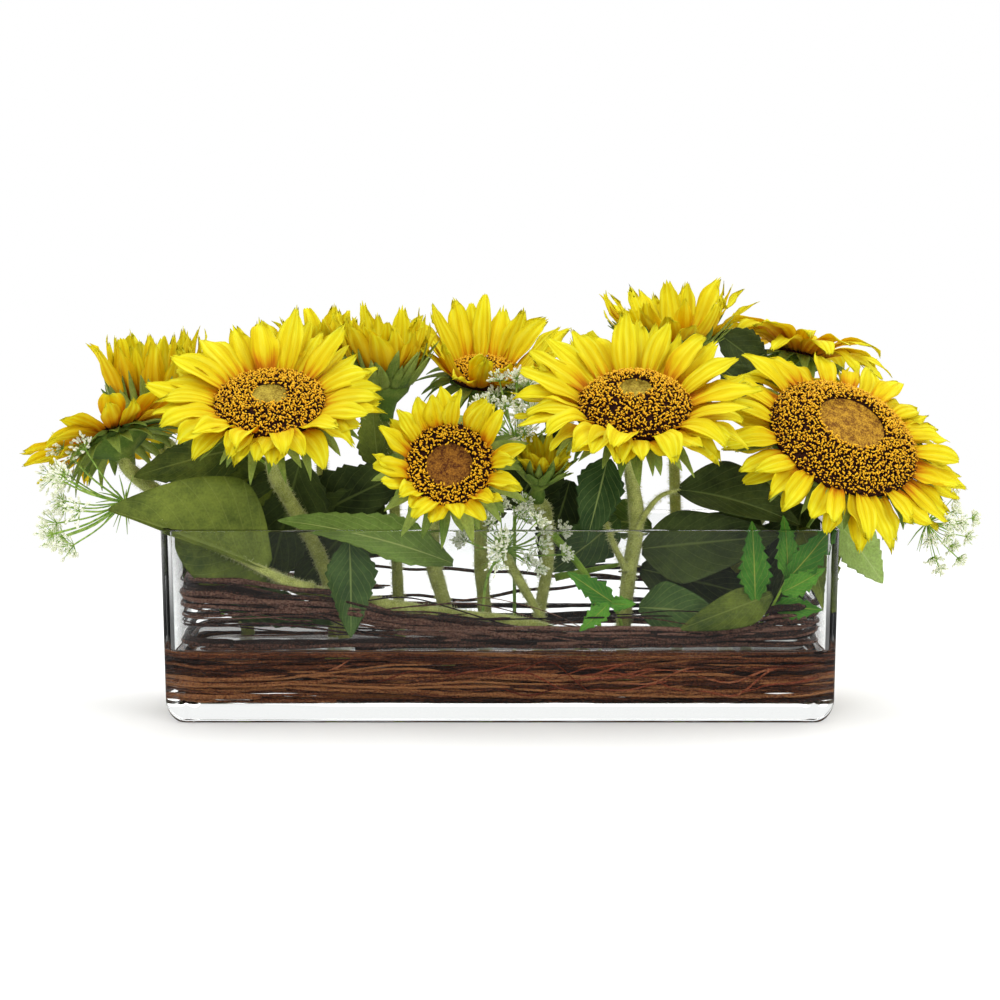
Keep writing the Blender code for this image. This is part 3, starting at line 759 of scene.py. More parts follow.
def add_hairs(bm, run, luck, spacing):
    """Hairs on a tube, spread evenly along it and leaning every way."""
    places = []
    for (a, radius), (b, _) in zip(run, run[1:]):
        tilt = (b - a).to_track_quat("Z", "Y").to_matrix()
        for _ in range(round((b - a).length / spacing)):
            share, angle = luck.random(), luck.uniform(0, 2 * math.pi)
            out = tilt @ Vector((math.cos(angle), math.sin(angle), luck.uniform(-0.5, 0.5)))
            foot = a.lerp(b, share) + tilt @ Vector((math.cos(angle), math.sin(angle), 0)) * radius * 0.96
            turned = out.to_track_quat("Z", "Y").to_matrix().to_4x4()
            places.append((Matrix.Translation(foot) @ turned @ Matrix.Scale(luck.uniform(0.6, 1.2), 4), 0))
    scatter(bm, HAIR, places, 1)


def make_stem(flower):
    luck = random.Random("stem " + flower.name)
    seat = seat_of(flower)
    top = seat @ Vector((0, 0, -(flower.calyx - 1) * MM))
    below = seat @ Vector((0, 0, -(flower.calyx + 6) * MM))
    route = [Vector(p) * MM for p in flower.route]
    foot = Vector((route[-1].x, route[-1].y, STEM_FOOT))
    slim = 0.82 if flower.disc < 17 else 1.0
    path = curve_through([top, below, *route, foot], 7)
    run = [(p, STEM_RADIUS * slim * (0.93 + 0.14 * noise.noise(p * 90))) for p in path]
    bm = tubes_bmesh([run], 14)
    add_hairs(bm, [knot for knot in run if knot[0].z > HAIRLESS_BELOW], luck, 0.06 * MM)
    return make_piece(f"stalk_{flower.name}", bm, (STEM_FUZZY, HAIR_PALE), (f"stem_{flower.name}",))


for flower in FLOWERS:
    stalk = make_stem(flower)
print("stems: last has", len(stalk.data.polygons), "faces with its hairs")

# %% [markdown]
# The loose leaves are placed one by one: where each starts and ends, how wide each half is, which way its
# face looks, how far it arches and which cloth it is cut from. A leaf is the same strip as a petal, but
# its edge is toothed, its halves fold up from the midrib, and it is widest a third of the way up.
Leaf = namedtuple("Leaf", "name start tip wide narrow face arch look teeth")

LEAVES = (
    Leaf("over_left_rim", (-122, -35, 80), (-207, -30, 110), 38, 3, (0.1, -0.95, 0.3), 6, "olive", 0),
    Leaf("left_low_half", (-120, -31, 76), (-175, -31, 102), 2, 23, (0.0, -0.97, 0.0), 3, "olive", 0),
    Leaf("under_left_flower", (-108, 8, 134), (-126, 8, 62), 24, 22, (0.0, -0.98, 0.1), 5, "dark", 12),
    Leaf("left_behind", (-134, -2, 142), (-196, -8, 126), 13, 16, (0.1, -0.9, 0.4), 3, "olive", 12),
    Leaf("left_fill", (-120, 8, 128), (-172, 4, 112), 16, 16, (0.1, -0.95, 0.1), 3, "olive", 12),
    Leaf("left_deep", (-160, 14, 112), (-163, 4, 56), 20, 20, (0.1, -0.98, 0.0), 3, "dark", 12),
    Leaf("left_lowest", (-160, 2, 64), (-86, 4, 45), 12, 12, (0.0, -0.98, 0.1), 2, "green", 9),
    Leaf("left_shade", (-106, 11, 100), (-46, 10, 130), 18, 18, (0.1, -0.92, 0.3), 4, "dark", 12),
    Leaf("left_fill_low", (-66, 12, 116), (-112, 11, 62), 21, 21, (0.1, -0.97, 0.1), 3, "dark", 12),
    Leaf("middle_left_back", (-66, 22, 126), (-72, 26, 170), 10, 10, (0.0, -0.98, 0.1), 2, "olive", 12),
    Leaf("middle_fill", (8, 12, 108), (34, 10, 152), 17, 17, (0.1, -0.97, 0.1), 3, "dark", 12),
    Leaf("middle_fill_low", (38, 12, 122), (24, 10, 76), 14, 15, (0.1, -0.97, 0.1), 3, "dark", 12),
    Leaf("front_serrated", (-25, -28, 82), (-117, -39, 104), 14, 13, (0.1, -0.75, 0.62), 7, "mid", 13),
    Leaf("hanging_left", (-79, -38, 96), (-77, -43.5, 45), 13, 13, (0.15, -0.98, 0.0), 1, "green", 9),
    Leaf("hanging_middle", (57, -22, 137), (44, -36, 93), 13, 12, (0.1, -0.96, 0.2), 4, "green", 9),
    Leaf("behind_bud", (37, 4, 140), (22, 4, 164), 5, 6, (0.0, -0.95, 0.3), 1, "dark", 7),
    Leaf("middle_deep", (64, 6, 102), (28, 2, 72), 13, 13, (0.1, -0.98, 0.1), 3, "green", 9),
    Leaf("under_right_flower", (95, -18, 120), (158, -34, 102), 20, 11, (0.1, -0.85, 0.5), 7, "dark", 0),
    Leaf("big_dark", (76, -12, 88), (148, -26, 95), 17, 22, (0.0, -0.96, 0.25), 5, "dark", 0),
    Leaf("big_dark_low", (76, -4, 76), (140, -12, 62), 18, 18, (0.0, -0.98, 0.15), 5, "dark", 9),
    Leaf("round_dark", (74, -24, 58), (117, -34, 55), 14, 13, (0.0, -0.9, 0.4), 3, "green", 0),
    Leaf("light_olive", (143, -38, 67), (94, -42, 48), 9, 12, (0.0, -0.95, 0.3), 3, "olive", 0),
    Leaf("bright_upright", (134, -40, 63), (132, -42, 106), 8, 8, (0.0, -1, 0.05), 1, "bright", 9),
    Leaf("lobe_upright", (151, -38, 76), (150, -40, 109), 6, 6, (0.1, -1, 0.0), 1, "bright", 6),
    Leaf("bright_right", (150, -38, 74), (177, -41, 107), 7, 8, (0.1, -1, 0.0), 2, "bright", 7),
    Leaf("lobe_level", (148, -38, 68), (171, -41, 80), 6, 6, (0.1, -1, 0.1), 1, "bright", 6),
    Leaf("lobe_low", (144, -38, 60), (169, -41, 61), 6, 6, (0.1, -1, 0.1), 1, "bright", 6),
    Leaf("bright_middle", (60, -37, 62), (35, -40, 79), 6, 6, (0.0, -1, 0.2), 1, "bright", 6),
    Leaf("bright_small", (58, -37, 62), (71, -41, 61), 4, 4, (0.0, -1, 0.2), 1, "bright", 5),
    Leaf("bright_low", (57, -39, 62), (42, -43, 48), 5, 5, (0.0, -1, 0.2), 1, "bright", 6),
    Leaf("outside_right", (184, 12, 99), (210, 14, 66), 12, 13, (0.3, -0.94, 0.1), 2, "pale", 8),
    Leaf("back_right_dark", (122, 52, 200), (152, 60, 176), 12, 12, (0.0, -0.95, 0.3), 3, "dark", 9),
    Leaf("back_right_low", (122, 36, 182), (148, 28, 160), 9, 9, (0.0, -0.95, 0.3), 3, "dark", 9),
    Leaf("right_deep", (106, 12, 100), (164, 2, 56), 22, 22, (0.0, -0.98, 0.1), 4, "dark", 9),
    Leaf("right_inner", (164, 4, 110), (148, -6, 58), 18, 18, (0.1, -0.98, 0.0), 4, "dark", 9),
    Leaf("right_corner", (160, -22, 100), (172, -32, 56), 14, 10, (0.2, -0.97, 0.1), 3, "olive", 9),
    Leaf("small_pale", (-33, 10, 157), (-19, 12, 167), 4, 4, (0.0, -0.9, 0.4), 1, "pale", 5),
    Leaf("rear_left", (-96, 34, 96), (-150, 47, 120), 16, 16, (0.0, 0.8, 0.5), 8, "mid", 11),
    Leaf("rear_middle", (-20, 34, 92), (30, 50, 118), 15, 15, (0.0, 0.8, 0.5), 8, "dark", 11),
    Leaf("rear_right", (84, 34, 94), (34, 52, 92), 13, 13, (0.0, 0.85, 0.4), 6, "mid", 11),
    Leaf("rear_far_right", (128, 34, 100), (176, 52, 118), 14, 14, (0.1, 0.8, 0.5), 8, "olive", 11),
)


# %% Loose leaves
def make_leaf(leaf):
    luck = random.Random("leaf " + leaf.name)
    start, tip = Vector(leaf.start) * MM, Vector(leaf.tip) * MM
    along = (tip - start).normalized()
    across = along.cross(Vector(leaf.face)).normalized()
    out = across.cross(along).normalized()
    length = (tip - start).length
    bend = math.degrees(math.atan(4 * leaf.arch * MM / length))
    seat = Matrix.Translation(start) @ Matrix((across, along, out)).transposed().to_4x4()
    strip = Strip(
        length=length * (1 + (bend / 90) ** 2 * 0.4), width=(leaf.wide + leaf.narrow) * MM,
        slope_in=bend, slope_out=-bend, base=0.15, widest=0.34, end=0.02, taper=1.4, cup=0.28,
        pleat=0.3 * MM, ripple=luck.uniform(0.6, 1.6) * MM, curl=0, sway=luck.uniform(-2, 2) * MM,
        twist=luck.uniform(-0.15, 0.15), notch=0)
    bm = sheet_bmesh()
    bite = 0.2 if leaf.look == "bright" else 0.08
    verts = add_strip(bm, strip, Matrix(), 12, 36, luck.random(), leaf.teeth, luck.random(), bite)
    lean = (leaf.wide - leaf.narrow) / (leaf.wide + leaf.narrow)
    for v in verts:
        v.co.x *= 1 + lean if v.co.x * across.z > 0 else 1 - lean
    bmesh.ops.transform(bm, matrix=seat, verts=bm.verts)
    piece = make_piece(f"blade_{leaf.name}", bm, (LEAF_LOOKS[leaf.look],), (f"leaf_{leaf.name}",))
    return give_thickness(piece, 0.35 * MM)


for leaf in LEAVES:
    blade = make_leaf(leaf)
print("leaves:", len(LEAVES))

# %% [markdown]
# Leaf stalks and a few bare green stems join the leaves to the flowers' stems.
Stalk = namedtuple("Stalk", "name radius fuzzy points")

STALKS = (
    Stalk("right_leaf", 2.0, True, ((72, -18, 96), (78, -18, 108), (86, -18, 117), (97, -18, 120))),
    Stalk("branch", 2.2, True, ((68, -14, 76), (60, -18, 92), (55, -20, 108))),
    Stalk("left_leaf", 3.4, True,
          ((-98, -33, 69), (-112, -34, 73), (-126, -35, 80), (-150, -35, 92), (-178, -34, 104))),
    Stalk("bright_right", 1.1, False, ((128, -30, 40), (140, -37, 55), (151, -38, 76))),
    Stalk("bright_upright", 1.0, False, ((126, -30, 42), (132, -38, 54), (134, -40, 66))),
    Stalk("bright_middle", 1.2, False, ((66, -28, 40), (63, -36, 54), (58, -37, 63))),
    Stalk("green_slanting", 2.6, False,
          ((12, -4, 116), (26, -10, 98), (40, -12, 82), (50, -12, 66), (54, -12, 40))),
    Stalk("green_level", 2.2, False, ((30, 6, 70), (48, 4, 74), (66, 2, 78))),
    Stalk("fuzzy_slanting", 3.2, True,
          ((0, -22, 96), (4, -23, 84), (14, -24, 66), (24, -22, 48), (28, -18, 30))),
    Stalk("hanging_middle", 0.9, False, ((66, -16, 148), (62, -19, 143), (57, -22, 137))),
    Stalk("outside_right", 0.9, False, ((160, 6, 100), (172, 9, 108), (180, 11, 107), (185, 12, 99))),
    Stalk("left_behind", 1.1, False, ((-112, -6, 118), (-128, -2, 134), (-146, 0, 138))),
)


# %% Leaf stalks
def make_stalk(stalk):
    luck = random.Random("stalk " + stalk.name)
    path = curve_through([Vector(p) * MM for p in stalk.points], 6)
    steps = len(path)
    run = [(p, stalk.radius * MM * (1 - 0.6 * (i / steps)) * (1 + 0.1 * noise.noise(p * 120)))
           for i, p in enumerate(path)]
    bm = tubes_bmesh([run], 10)
    if stalk.fuzzy:
        add_hairs(bm, run, luck, 0.08 * MM)
    finish = STEM_FUZZY if stalk.fuzzy else STEM_SMOOTH
    make_piece(f"sprig_{stalk.name}", bm, (finish, HAIR_PALE))


for stalk in STALKS:
    make_stalk(stalk)
print("leaf stalks:", len(STALKS))

# %% [markdown]
# Lace flowers are umbels of umbels. Fine green rays leave a hub, each ends in a smaller umbel, and each
# of its short stalks carries a few white florets hardly a millimetre across. A floret is a small faceted
# ball, because at this size its five petals can't be told apart.


# %% Lace finishes
def plain_grain(name, low, high, scale, roughness):
    material, tree, shader = start_material(name, Roughness=roughness, Specular_IOR_Level=0.2)
    grain = mottle(tree, own_place(tree), scale, 2.0)
    paint(tree, shader, colour_ramp(tree, grain, ((0.35, low), (0.65, high))))
    add_bump(tree, shader, grain, 0.4, 0.0004)
    return material


LACE_WHITE = plain_grain("lace_white", (0.70, 0.74, 0.50), (0.93, 0.93, 0.84), 420.0, 0.7)
LACE_GREEN = plain_grain("lace_green", (0.16, 0.32, 0.04), (0.40, 0.56, 0.12), 300.0, 0.6)

Spray = namedtuple("Spray", "name hub face reach spread rays stalk")
SPRAYS = (
    Spray("left", (-200, -14, 113), (-0.92, -0.2, 0.10), 50, 54, 14,
          ((-198, -6, 113), (-184, -1, 111), (-170, -1, 107), (-158, -5, 92), (-150, 0, 50))),
    Spray("back_middle", (8, 2, 146), (-0.1, -0.3, 1.0), 34, 78, 26,
          ((10, 10, 130), (8, 16, 100), (8, 20, 40))),
    Spray("front_middle", (2, -30, 90), (0.25, -0.4, 0.85), 32, 88, 24,
          ((-4, -25, 80), (-8, -20, 68), (-10, -16, 40))),
    Spray("right", (228, -14, 102), (0.8, -0.3, -0.3), 26, 70, 13,
          ((208, -10, 103), (186, -6, 106), (166, -6, 100), (158, -2, 50))),
)


# %% Lace sprays
def lace_floret_template():
    bm = bmesh.new()
    bmesh.ops.create_icosphere(bm, subdivisions=1, radius=0.6 * MM)
    return keep_as_mesh("lace_floret", bm)


LACE_FLORET = lace_floret_template()


def fan_of(way, spread, count, luck):
    """Directions that open evenly round one, out to the spread in degrees."""
    tilt = way.to_track_quat("Z", "Y")
    for i in range(count):
        lean = math.radians(spread) * math.sqrt((i + luck.uniform(0.2, 0.8)) / count)
        swing = i * GOLDEN_ANGLE + luck.uniform(-0.3, 0.3)
        yield tilt @ Vector((math.sin(lean) * math.cos(swing), math.sin(lean) * math.sin(swing),
                             math.cos(lean)))


def make_spray(spray):
    luck = random.Random("lace " + spray.name)
    hub, face = Vector(spray.hub) * MM, Vector(spray.face).normalized()
    stalk = curve_through([hub, *(Vector(p) * MM for p in spray.stalk)], 6)
    runs = [[(p, 1.0 * MM) for p in stalk]]
    places = []
    for way in fan_of(face, spray.spread, spray.rays, luck):
        reach = spray.reach * MM * luck.uniform(0.58, 1.0)
        node = hub + way * reach
        bend = hub + way * reach * 0.5 + Vector((0, 0, -0.06 * reach))
        runs.append([(p, 0.0125 * reach) for p in curve_through([hub, bend, node], 4)])
        for short in fan_of((way + face * 0.4).normalized(), 80, 17, luck):
            far = luck.uniform(0.11, 0.21) * spray.reach * MM
            runs.append([(node, 0.22 * MM), (node + short * far, 0.18 * MM)])
            tilt = short.to_track_quat("Z", "Y").to_matrix().to_4x4()
            for _ in range(5):
                nudge = Vector((luck.uniform(-1, 1), luck.uniform(-1, 1), luck.uniform(-1, 1))) * 0.8 * MM
                spot = node + short * (far + luck.uniform(-2.0, 0.8) * MM) + nudge
                size = luck.uniform(0.6, 1.1) * math.sqrt(spray.reach / 38)
                drop = Matrix.Diagonal((size, size, 1.9 * size, 1))
                places.append((Matrix.Translation(spot) @ tilt @ drop, 0))
    for way in fan_of(face, 110, 14, luck):
        runs.append([(hub, 0.5 * MM), (hub + way * 9 * MM, 0.45 * MM),
                     (hub + way * 17 * MM - Vector((0, 0, 2 * MM)), 0.12 * MM)])
    bm = tubes_bmesh(runs, 4)
    scatter(bm, LACE_FLORET, places, 1)
    make_piece(f"umbel_{spray.name}", bm, (LACE_GREEN, LACE_WHITE), (f"lace_{spray.name}",),
               smooth=False)
    return len(places)


print("lace florets:", sum(make_spray(spray) for spray in SPRAYS))

# %% [markdown]
# The twigs were pushed into the trough as one long springy coil, so they follow the walls: along the
# front, round the end, along the back and round again. Each is a tube on a rounded rectangle just inside
# the glass, with its own height, inset and thickness, wandering slowly. Below the waterline they lie
# packed and look red brown. Above it they are dry, darker and looser, with a loop at each end.
trough_low, trough_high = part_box("trough")
water_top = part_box("water")[1].z
LENGTH = trough_high.x - trough_low.x
WIDTH = trough_high.y - trough_low.y
HEIGHT = trough_high.z
WALL = 5.5 * MM
BASE = 9.5 * MM
TAPER = 1.6 * MM
CORNER = 12 * MM
FOOT_ROUNDING = 10.5 * MM
FOOT_TIGHT = 3 * MM
print("trough in mm:", round(LENGTH / MM), round(WIDTH / MM), round(HEIGHT / MM))


# %% Twig finish
def bark_finish(name, stops, roughness, shine):
    material, tree, shader = start_material(name, Roughness=roughness, Specular_IOR_Level=shine)
    place = own_place(tree)
    fibre = mottle(tree, scaled(tree, place, (160, 160, 1700)), 1.0, 6.0, 0.65)
    strand = mottle(tree, scaled(tree, place, (18, 18, 330)), 1.0, 1.0)
    crack = mottle(tree, place, 900.0, 4.0)
    own = calculate(tree, "MULTIPLY_ADD", stored(tree, "tone"), 0.6, -0.62)
    rough = calculate(tree, "MULTIPLY_ADD", crack, 0.8, own)
    level = calculate(tree, "MULTIPLY_ADD", fibre, 0.6, calculate(tree, "MULTIPLY_ADD", strand, 0.3, rough))
    paint(tree, shader, colour_ramp(tree, level, stops))
    add_bump(tree, shader, calculate(tree, "ADD", fibre, crack), 1.0, 0.002)
    return material


BARK_WET = bark_finish("bark_wet", ((0.25, (0.012, 0.004, 0.002)), (0.42, (0.085, 0.024, 0.010)),
                                    (0.6, (0.21, 0.066, 0.023)), (0.82, (0.48, 0.20, 0.07))), 0.34, 0.5)
BARK_RED = bark_finish("bark_red", ((0.25, (0.10, 0.020, 0.008)), (0.45, (0.26, 0.055, 0.022)),
                                    (0.62, (0.42, 0.11, 0.045)), (0.82, (0.55, 0.22, 0.10))), 0.4, 0.4)
BARK_DRY = bark_finish("bark_dry", ((0.25, (0.010, 0.004, 0.003)), (0.45, (0.044, 0.018, 0.011)),
                                    (0.62, (0.11, 0.047, 0.030)), (0.82, (0.28, 0.14, 0.095))), 0.26, 0.7)


# %% Run a twig round the walls
VINE_CORNER = 16 * MM


def wall_path(share, height, inset):
    """A point on the rounded rectangle that runs this far inside the walls, share of the way round."""
    taper = TAPER * (1 - height / HEIGHT)
    half_x = LENGTH / 2 - WALL - taper - inset
    half_y = WIDTH / 2 - WALL - taper - inset
    run_x, run_y = 2 * (half_x - VINE_CORNER), 2 * (half_y - VINE_CORNER)
    arc = math.pi / 2 * VINE_CORNER
    along = (share % 1) * 2 * (run_x + run_y + 2 * arc)
    x, y, heading = -half_x + VINE_CORNER, -half_y, 0.0
    for run in (run_x, run_y, run_x, run_y):
        forward = Vector((math.cos(heading), math.sin(heading), 0))
        left = Vector((-math.sin(heading), math.cos(heading), 0))
        here = Vector((x, y, height))
        if along < run:
            return here + forward * along
        along -= run
        here += forward * run
        angle = min(along, arc) / VINE_CORNER
        bent = here + forward * VINE_CORNER * math.sin(angle) + left * VINE_CORNER * (1 - math.cos(angle))
        if along < arc:
            return bent
        along -= arc
        x, y, heading = bent.x, bent.y, heading + math.pi / 2
    return Vector((x, y, height))


def twig(luck, knots, inset, radius, wander=1.4, top=None):
    """A run of (point, radius) through knots of (share of the way round, height in mm)."""
    start, end = knots[0][0], knots[-1][0]
    count = max(10, round((end - start) * 200))
    seed = luck.uniform(0, 90)
    shares = [start + (end - start) * i / count for i in range(count + 1)]
    run = []
    for i, along in enumerate(shares):
        k = min(sum(1 for knot in knots[1:] if knot[0] < along), len(knots) - 2)
        (share_a, low), (share_b, high) = knots[k], knots[k + 1]
        part = (along - share_a) / (share_b - share_a)
        height = (low + (high - low) * part * part * (3 - 2 * part)) * MM
        slow, quick = noise.noise((along * 6, seed, 0)), noise.noise((along * 26, seed, 3))
        height += wander * MM * (2.0 * slow + 0.9 * quick)
        height = max(height, BASE + (radius + 0.5) * MM)
        if top is not None:
            height = min(height, top - radius * MM)
        depth = (inset + radius + 0.4 + 2.6 * abs(noise.noise((along * 11, seed + 40, 0)))) * MM
        swelling, knobs = noise.noise((along * 45, seed, 7)), noise.noise((along * 150, seed, 9))
        thick = radius * MM * (1 + 0.35 * swelling + 0.2 * knobs)
        run.append((wall_path(along, height, depth), thick * (0.5 if i in (0, count) else 1)))
    return run


def bundle(luck, count, knots, insets, radii, loose=0.06, wander=1.4, top=None):
    """Twigs that share a way. Each knot is (share of the way round, lowest height, highest height)."""
    runs = []
    for i in range(count):
        level = (i + luck.uniform(0, 1)) / count
        slip = [luck.uniform(-loose, loose) for _ in knots]
        own = [(knot[0] + slip[j] * (0.3 if 0 < j < len(knots) - 1 else 1),
                knot[1] + (knot[2] - knot[1]) * min(max(level + luck.uniform(-0.25, 0.25), 0), 1))
               for j, knot in enumerate(knots)]
        runs.append(twig(luck, own, luck.uniform(*insets), luck.uniform(*radii), wander, top))
    return runs


def make_twigs(name, luck, runs, finish, stands_for=(), sides=8):
    piece = make_piece(name, give_islands_tone(tubes_bmesh(runs, sides), luck), (finish,), stands_for)
    print(f"{name}: {len(runs)} twigs, {len(piece.data.polygons)} faces")


# %% Twigs under water
luck = random.Random("wet twigs")
WET_TOP = water_top - 0.7 * MM
wet = []
for inset, count in ((0.0, 27), (2.2, 23), (4.6, 17)):
    for i in range(count):
        start, height = luck.uniform(0, 1), 11 + 25.5 * (i + luck.random()) / count
        knots = [(start + 0.2 * j, height + luck.uniform(-5, 5)) for j in range(luck.choice((3, 4, 5, 6)))]
        wet.append(twig(luck, knots, inset + luck.uniform(0, 1.6), luck.uniform(0.6, 1.45), 2.2, WET_TOP))
for _ in range(46):
    start, height = luck.uniform(0, 1), luck.uniform(12, 34)
    knots = [(start, height), (start + luck.uniform(0.1, 0.4), luck.uniform(12, 34))]
    wet.append(twig(luck, knots, luck.uniform(-0.2, 2.5), luck.uniform(0.35, 0.8), 2.6, WET_TOP))
make_twigs("twigs_wet", luck, wet, BARK_WET, ("vine_wet_1", "vine_wet_2", "vine_wet_3"))

# %% [markdown]
# The dry twigs lie in a few bundles. Low turns rest on the water, a loop climbs the left end, and another
# one climbs the right end at the back. Each bundle is set by how many twigs it has, the knots that they
# share, how far they keep from the wall, how thick they are and how far they stray.


# %% Dry twigs above the water
luck = random.Random("dry twigs")
DRY_TWIGS = (
    ("twigs_dry_low", "vine_dry_1", (
        (8, ((0.0, 39, 43), (0.1, 39, 43), (0.25, 39, 46), (0.5, 39, 50), (0.78, 39, 50), (1.0, 39, 44)),
         (0, 6), (0.5, 1.5), 0.1, 0.9),
        (8, ((0.13, 42, 50), (0.24, 41, 48), (0.32, 40, 47), (0.4, 42, 54)),
         (0, 7), (0.5, 1.5), 0.05, 1.6))),
    ("twigs_left_loop", "vine_loop_left", (
        (14, ((0.78, 58, 84), (0.9, 58, 80), (1.0, 60, 74), (1.065, 55, 68), (1.138, 47, 56), (1.2, 43, 48)),
         (0, 6), (0.6, 1.8), 0.035, 0.9),
        (5, ((0.9, 46, 62), (0.98, 48, 56), (1.04, 52, 60), (1.15, 43, 50)),
         (0, 5), (0.4, 1.0), 0.04, 2.2))),
    ("twigs_right_loop", "vine_loop_right", (
        (11, ((0.24, 40, 46), (0.31, 41, 49), (0.37, 45, 62), (0.46, 48, 70), (0.6, 54, 78)),
         (0, 6), (0.5, 1.6), 0.035, 1.2),)),
)
for name, node, bundles in DRY_TWIGS:
    runs = [run for numbers in bundles for run in bundle(luck, *numbers)]
    make_twigs(name, luck, runs, BARK_DRY, (node,))

# %% [markdown]
# Fine tendrils break the order: some cross the coil at a slant, a few curl free of it.


# %% Tendrils
luck = random.Random("tendrils")
thin, dry_thin = [], []
for _ in range(22):
    start, height = luck.uniform(0.0, 0.42), luck.uniform(14, 34)
    knots = [(start, height), (start + 0.02, height + luck.uniform(-8, 8)),
             (start + 0.05, luck.uniform(14, 34))]
    thin.append(twig(luck, knots, -0.2, luck.uniform(0.35, 0.75), 1.8, WET_TOP))
for _ in range(12):
    start, height = luck.uniform(-0.1, 0.5), luck.uniform(42, 60)
    knots = [(start, height), (start + 0.06, height + luck.uniform(-6, 8)),
             (start + 0.15, luck.uniform(42, 58))]
    dry_thin.append(twig(luck, knots, luck.uniform(0, 5), luck.uniform(0.25, 0.5), 2.4))
for _ in range(2):
    start, height = 0.5 + luck.uniform(0.05, 0.16), luck.uniform(57, 86)
    knots = [(start, height), (start + 0.1, height + luck.uniform(-6, 6)),
             (start + 0.24, height + luck.uniform(-6, 6))]
    dry_thin.append(twig(luck, knots, luck.uniform(0, 6), luck.uniform(0.6, 1.2), 5.0))
make_twigs("tendrils_wet", luck, thin, BARK_RED, sides=6)
make_twigs("tendrils_dry", luck, dry_thin, BARK_DRY, sides=6)

# %% [markdown]
# The trough is thick pressed glass. It starts as a block with rounded corners, its top is inset by the
# wall's thickness and pushed down to make the hollow, and the edges are bevelled. The foot is rounded
# fully at the ends and tightly along the sides. Wide flat faces next to small bevels would shade as if
# they bulged, so weighted normals keep the flats flat.
#
# Real glass bends what is behind it. For lamps' rays the shader is transparent instead, so that the light
# reaches the twigs and leaves inside without the noise of focused light.


# %% Glass and water finishes
def clear_finish(name, bend, tint):
    material = bpy.data.materials.new(name)
    material.use_nodes = True
    tree = material.node_tree
    tree.nodes.remove(tree.nodes["Principled BSDF"])
    ray = add_node(tree, "ShaderNodeLightPath")
    clear = add_node(tree, "ShaderNodeBsdfGlass", {"Color": (*tint, 1), "Roughness": 0.0, "IOR": bend})
    open_way = add_node(tree, "ShaderNodeBsdfTransparent", {"Color": (*tint, 1)})
    mix_surfaces(tree, ray.outputs["Is Shadow Ray"], clear, open_way)
    return material


CLEAR_GLASS = clear_finish("clear_glass", 1.49, (0.99, 0.995, 0.992))
SET_WATER = clear_finish("set_water", 1.0, (0.995, 0.99, 0.985))


# %% Blocks with rounded corners
def upright_edge(edge):
    a, b = edge.verts
    return abs(a.co.z - b.co.z) > abs(a.co.x - b.co.x) + abs(a.co.y - b.co.y)


def edges_at(bm, height):
    return [e for e in bm.edges if all(abs(v.co.z - height) < 1e-6 for v in e.verts)]


def round_off(bm, edges, offset, segments):
    bmesh.ops.bevel(bm, geom=edges, offset=offset, segments=segments, profile=0.5, affect="EDGES",
                    material=-1, offset_type="OFFSET")


def rounded_block(length, width, bottom, top, corner):
    bm = bmesh.new()
    size = Matrix.Diagonal((length, width, top - bottom, 1))
    bmesh.ops.create_cube(bm, size=1, matrix=Matrix.Translation((0, 0, (top + bottom) / 2)) @ size)
    round_off(bm, [e for e in bm.edges if upright_edge(e)], corner, 10)
    return bm


def draw_in(bm):
    """Draws the walls in towards the base, as the trough was drawn from its mould."""
    for v in bm.verts:
        inward = TAPER * (1 - v.co.z / HEIGHT)
        v.co.x *= 1 - inward / (LENGTH / 2)
        v.co.y *= 1 - inward / (WIDTH / 2)


def tighten_foot(bm):
    """Leaves the foot's rounding full at the ends, and tightens it along the sides."""
    for v in bm.verts:
        if v.co.z > FOOT_ROUNDING:
            continue
        core = Vector((max(-LENGTH / 2 + CORNER, min(v.co.x, LENGTH / 2 - CORNER)),
                       max(-WIDTH / 2 + CORNER, min(v.co.y, WIDTH / 2 - CORNER))))
        out = v.co.xy - core
        if out.length < 1e-6:
            continue
        ratio = 1 + (FOOT_TIGHT / FOOT_ROUNDING - 1) * (out.y / out.length) ** 2
        v.co.xy = core + out.normalized() * (CORNER - (CORNER - out.length) * ratio)
        v.co.z *= ratio


def top_face(bm):
    return max(bm.faces, key=lambda face: face.calc_center_median().z + 0.001 * face.calc_area())


def keep_flats_flat(piece):
    steady = piece.modifiers.new("steady normals", "WEIGHTED_NORMAL")
    steady.mode = "FACE_AREA"
    steady.weight = 100
    steady.keep_sharp = True


# %% Glass trough
bm = rounded_block(LENGTH, WIDTH, 0, HEIGHT, CORNER)
mouth = top_face(bm)
bmesh.ops.inset_region(bm, faces=[mouth], thickness=WALL, depth=0, use_even_offset=True)
bmesh.ops.inset_region(bm, faces=[mouth], thickness=0, depth=-(HEIGHT - water_top))
round_off(bm, edges_at(bm, water_top), 1.0 * MM, 4)
round_off(bm, edges_at(bm, 0), FOOT_ROUNDING, 8)
tighten_foot(bm)
round_off(bm, edges_at(bm, HEIGHT), 1.2 * MM, 3)
draw_in(bm)
bmesh.ops.recalc_face_normals(bm, faces=bm.faces)
keep_flats_flat(make_piece("glass_trough", bm, (CLEAR_GLASS,), ("trough",)))

# %% [markdown]
# The "water" is a clear resin, poured in and left to set. It bonds to the glass and bends light as much
# as the glass does, so light crosses from one to the other as if there were no join. For that reason the
# bending surface is drawn once, on the glass piece, whose hollow stops at the water's top. The resin is
# a body inside it that bends nothing more and only adds a trace of colour.


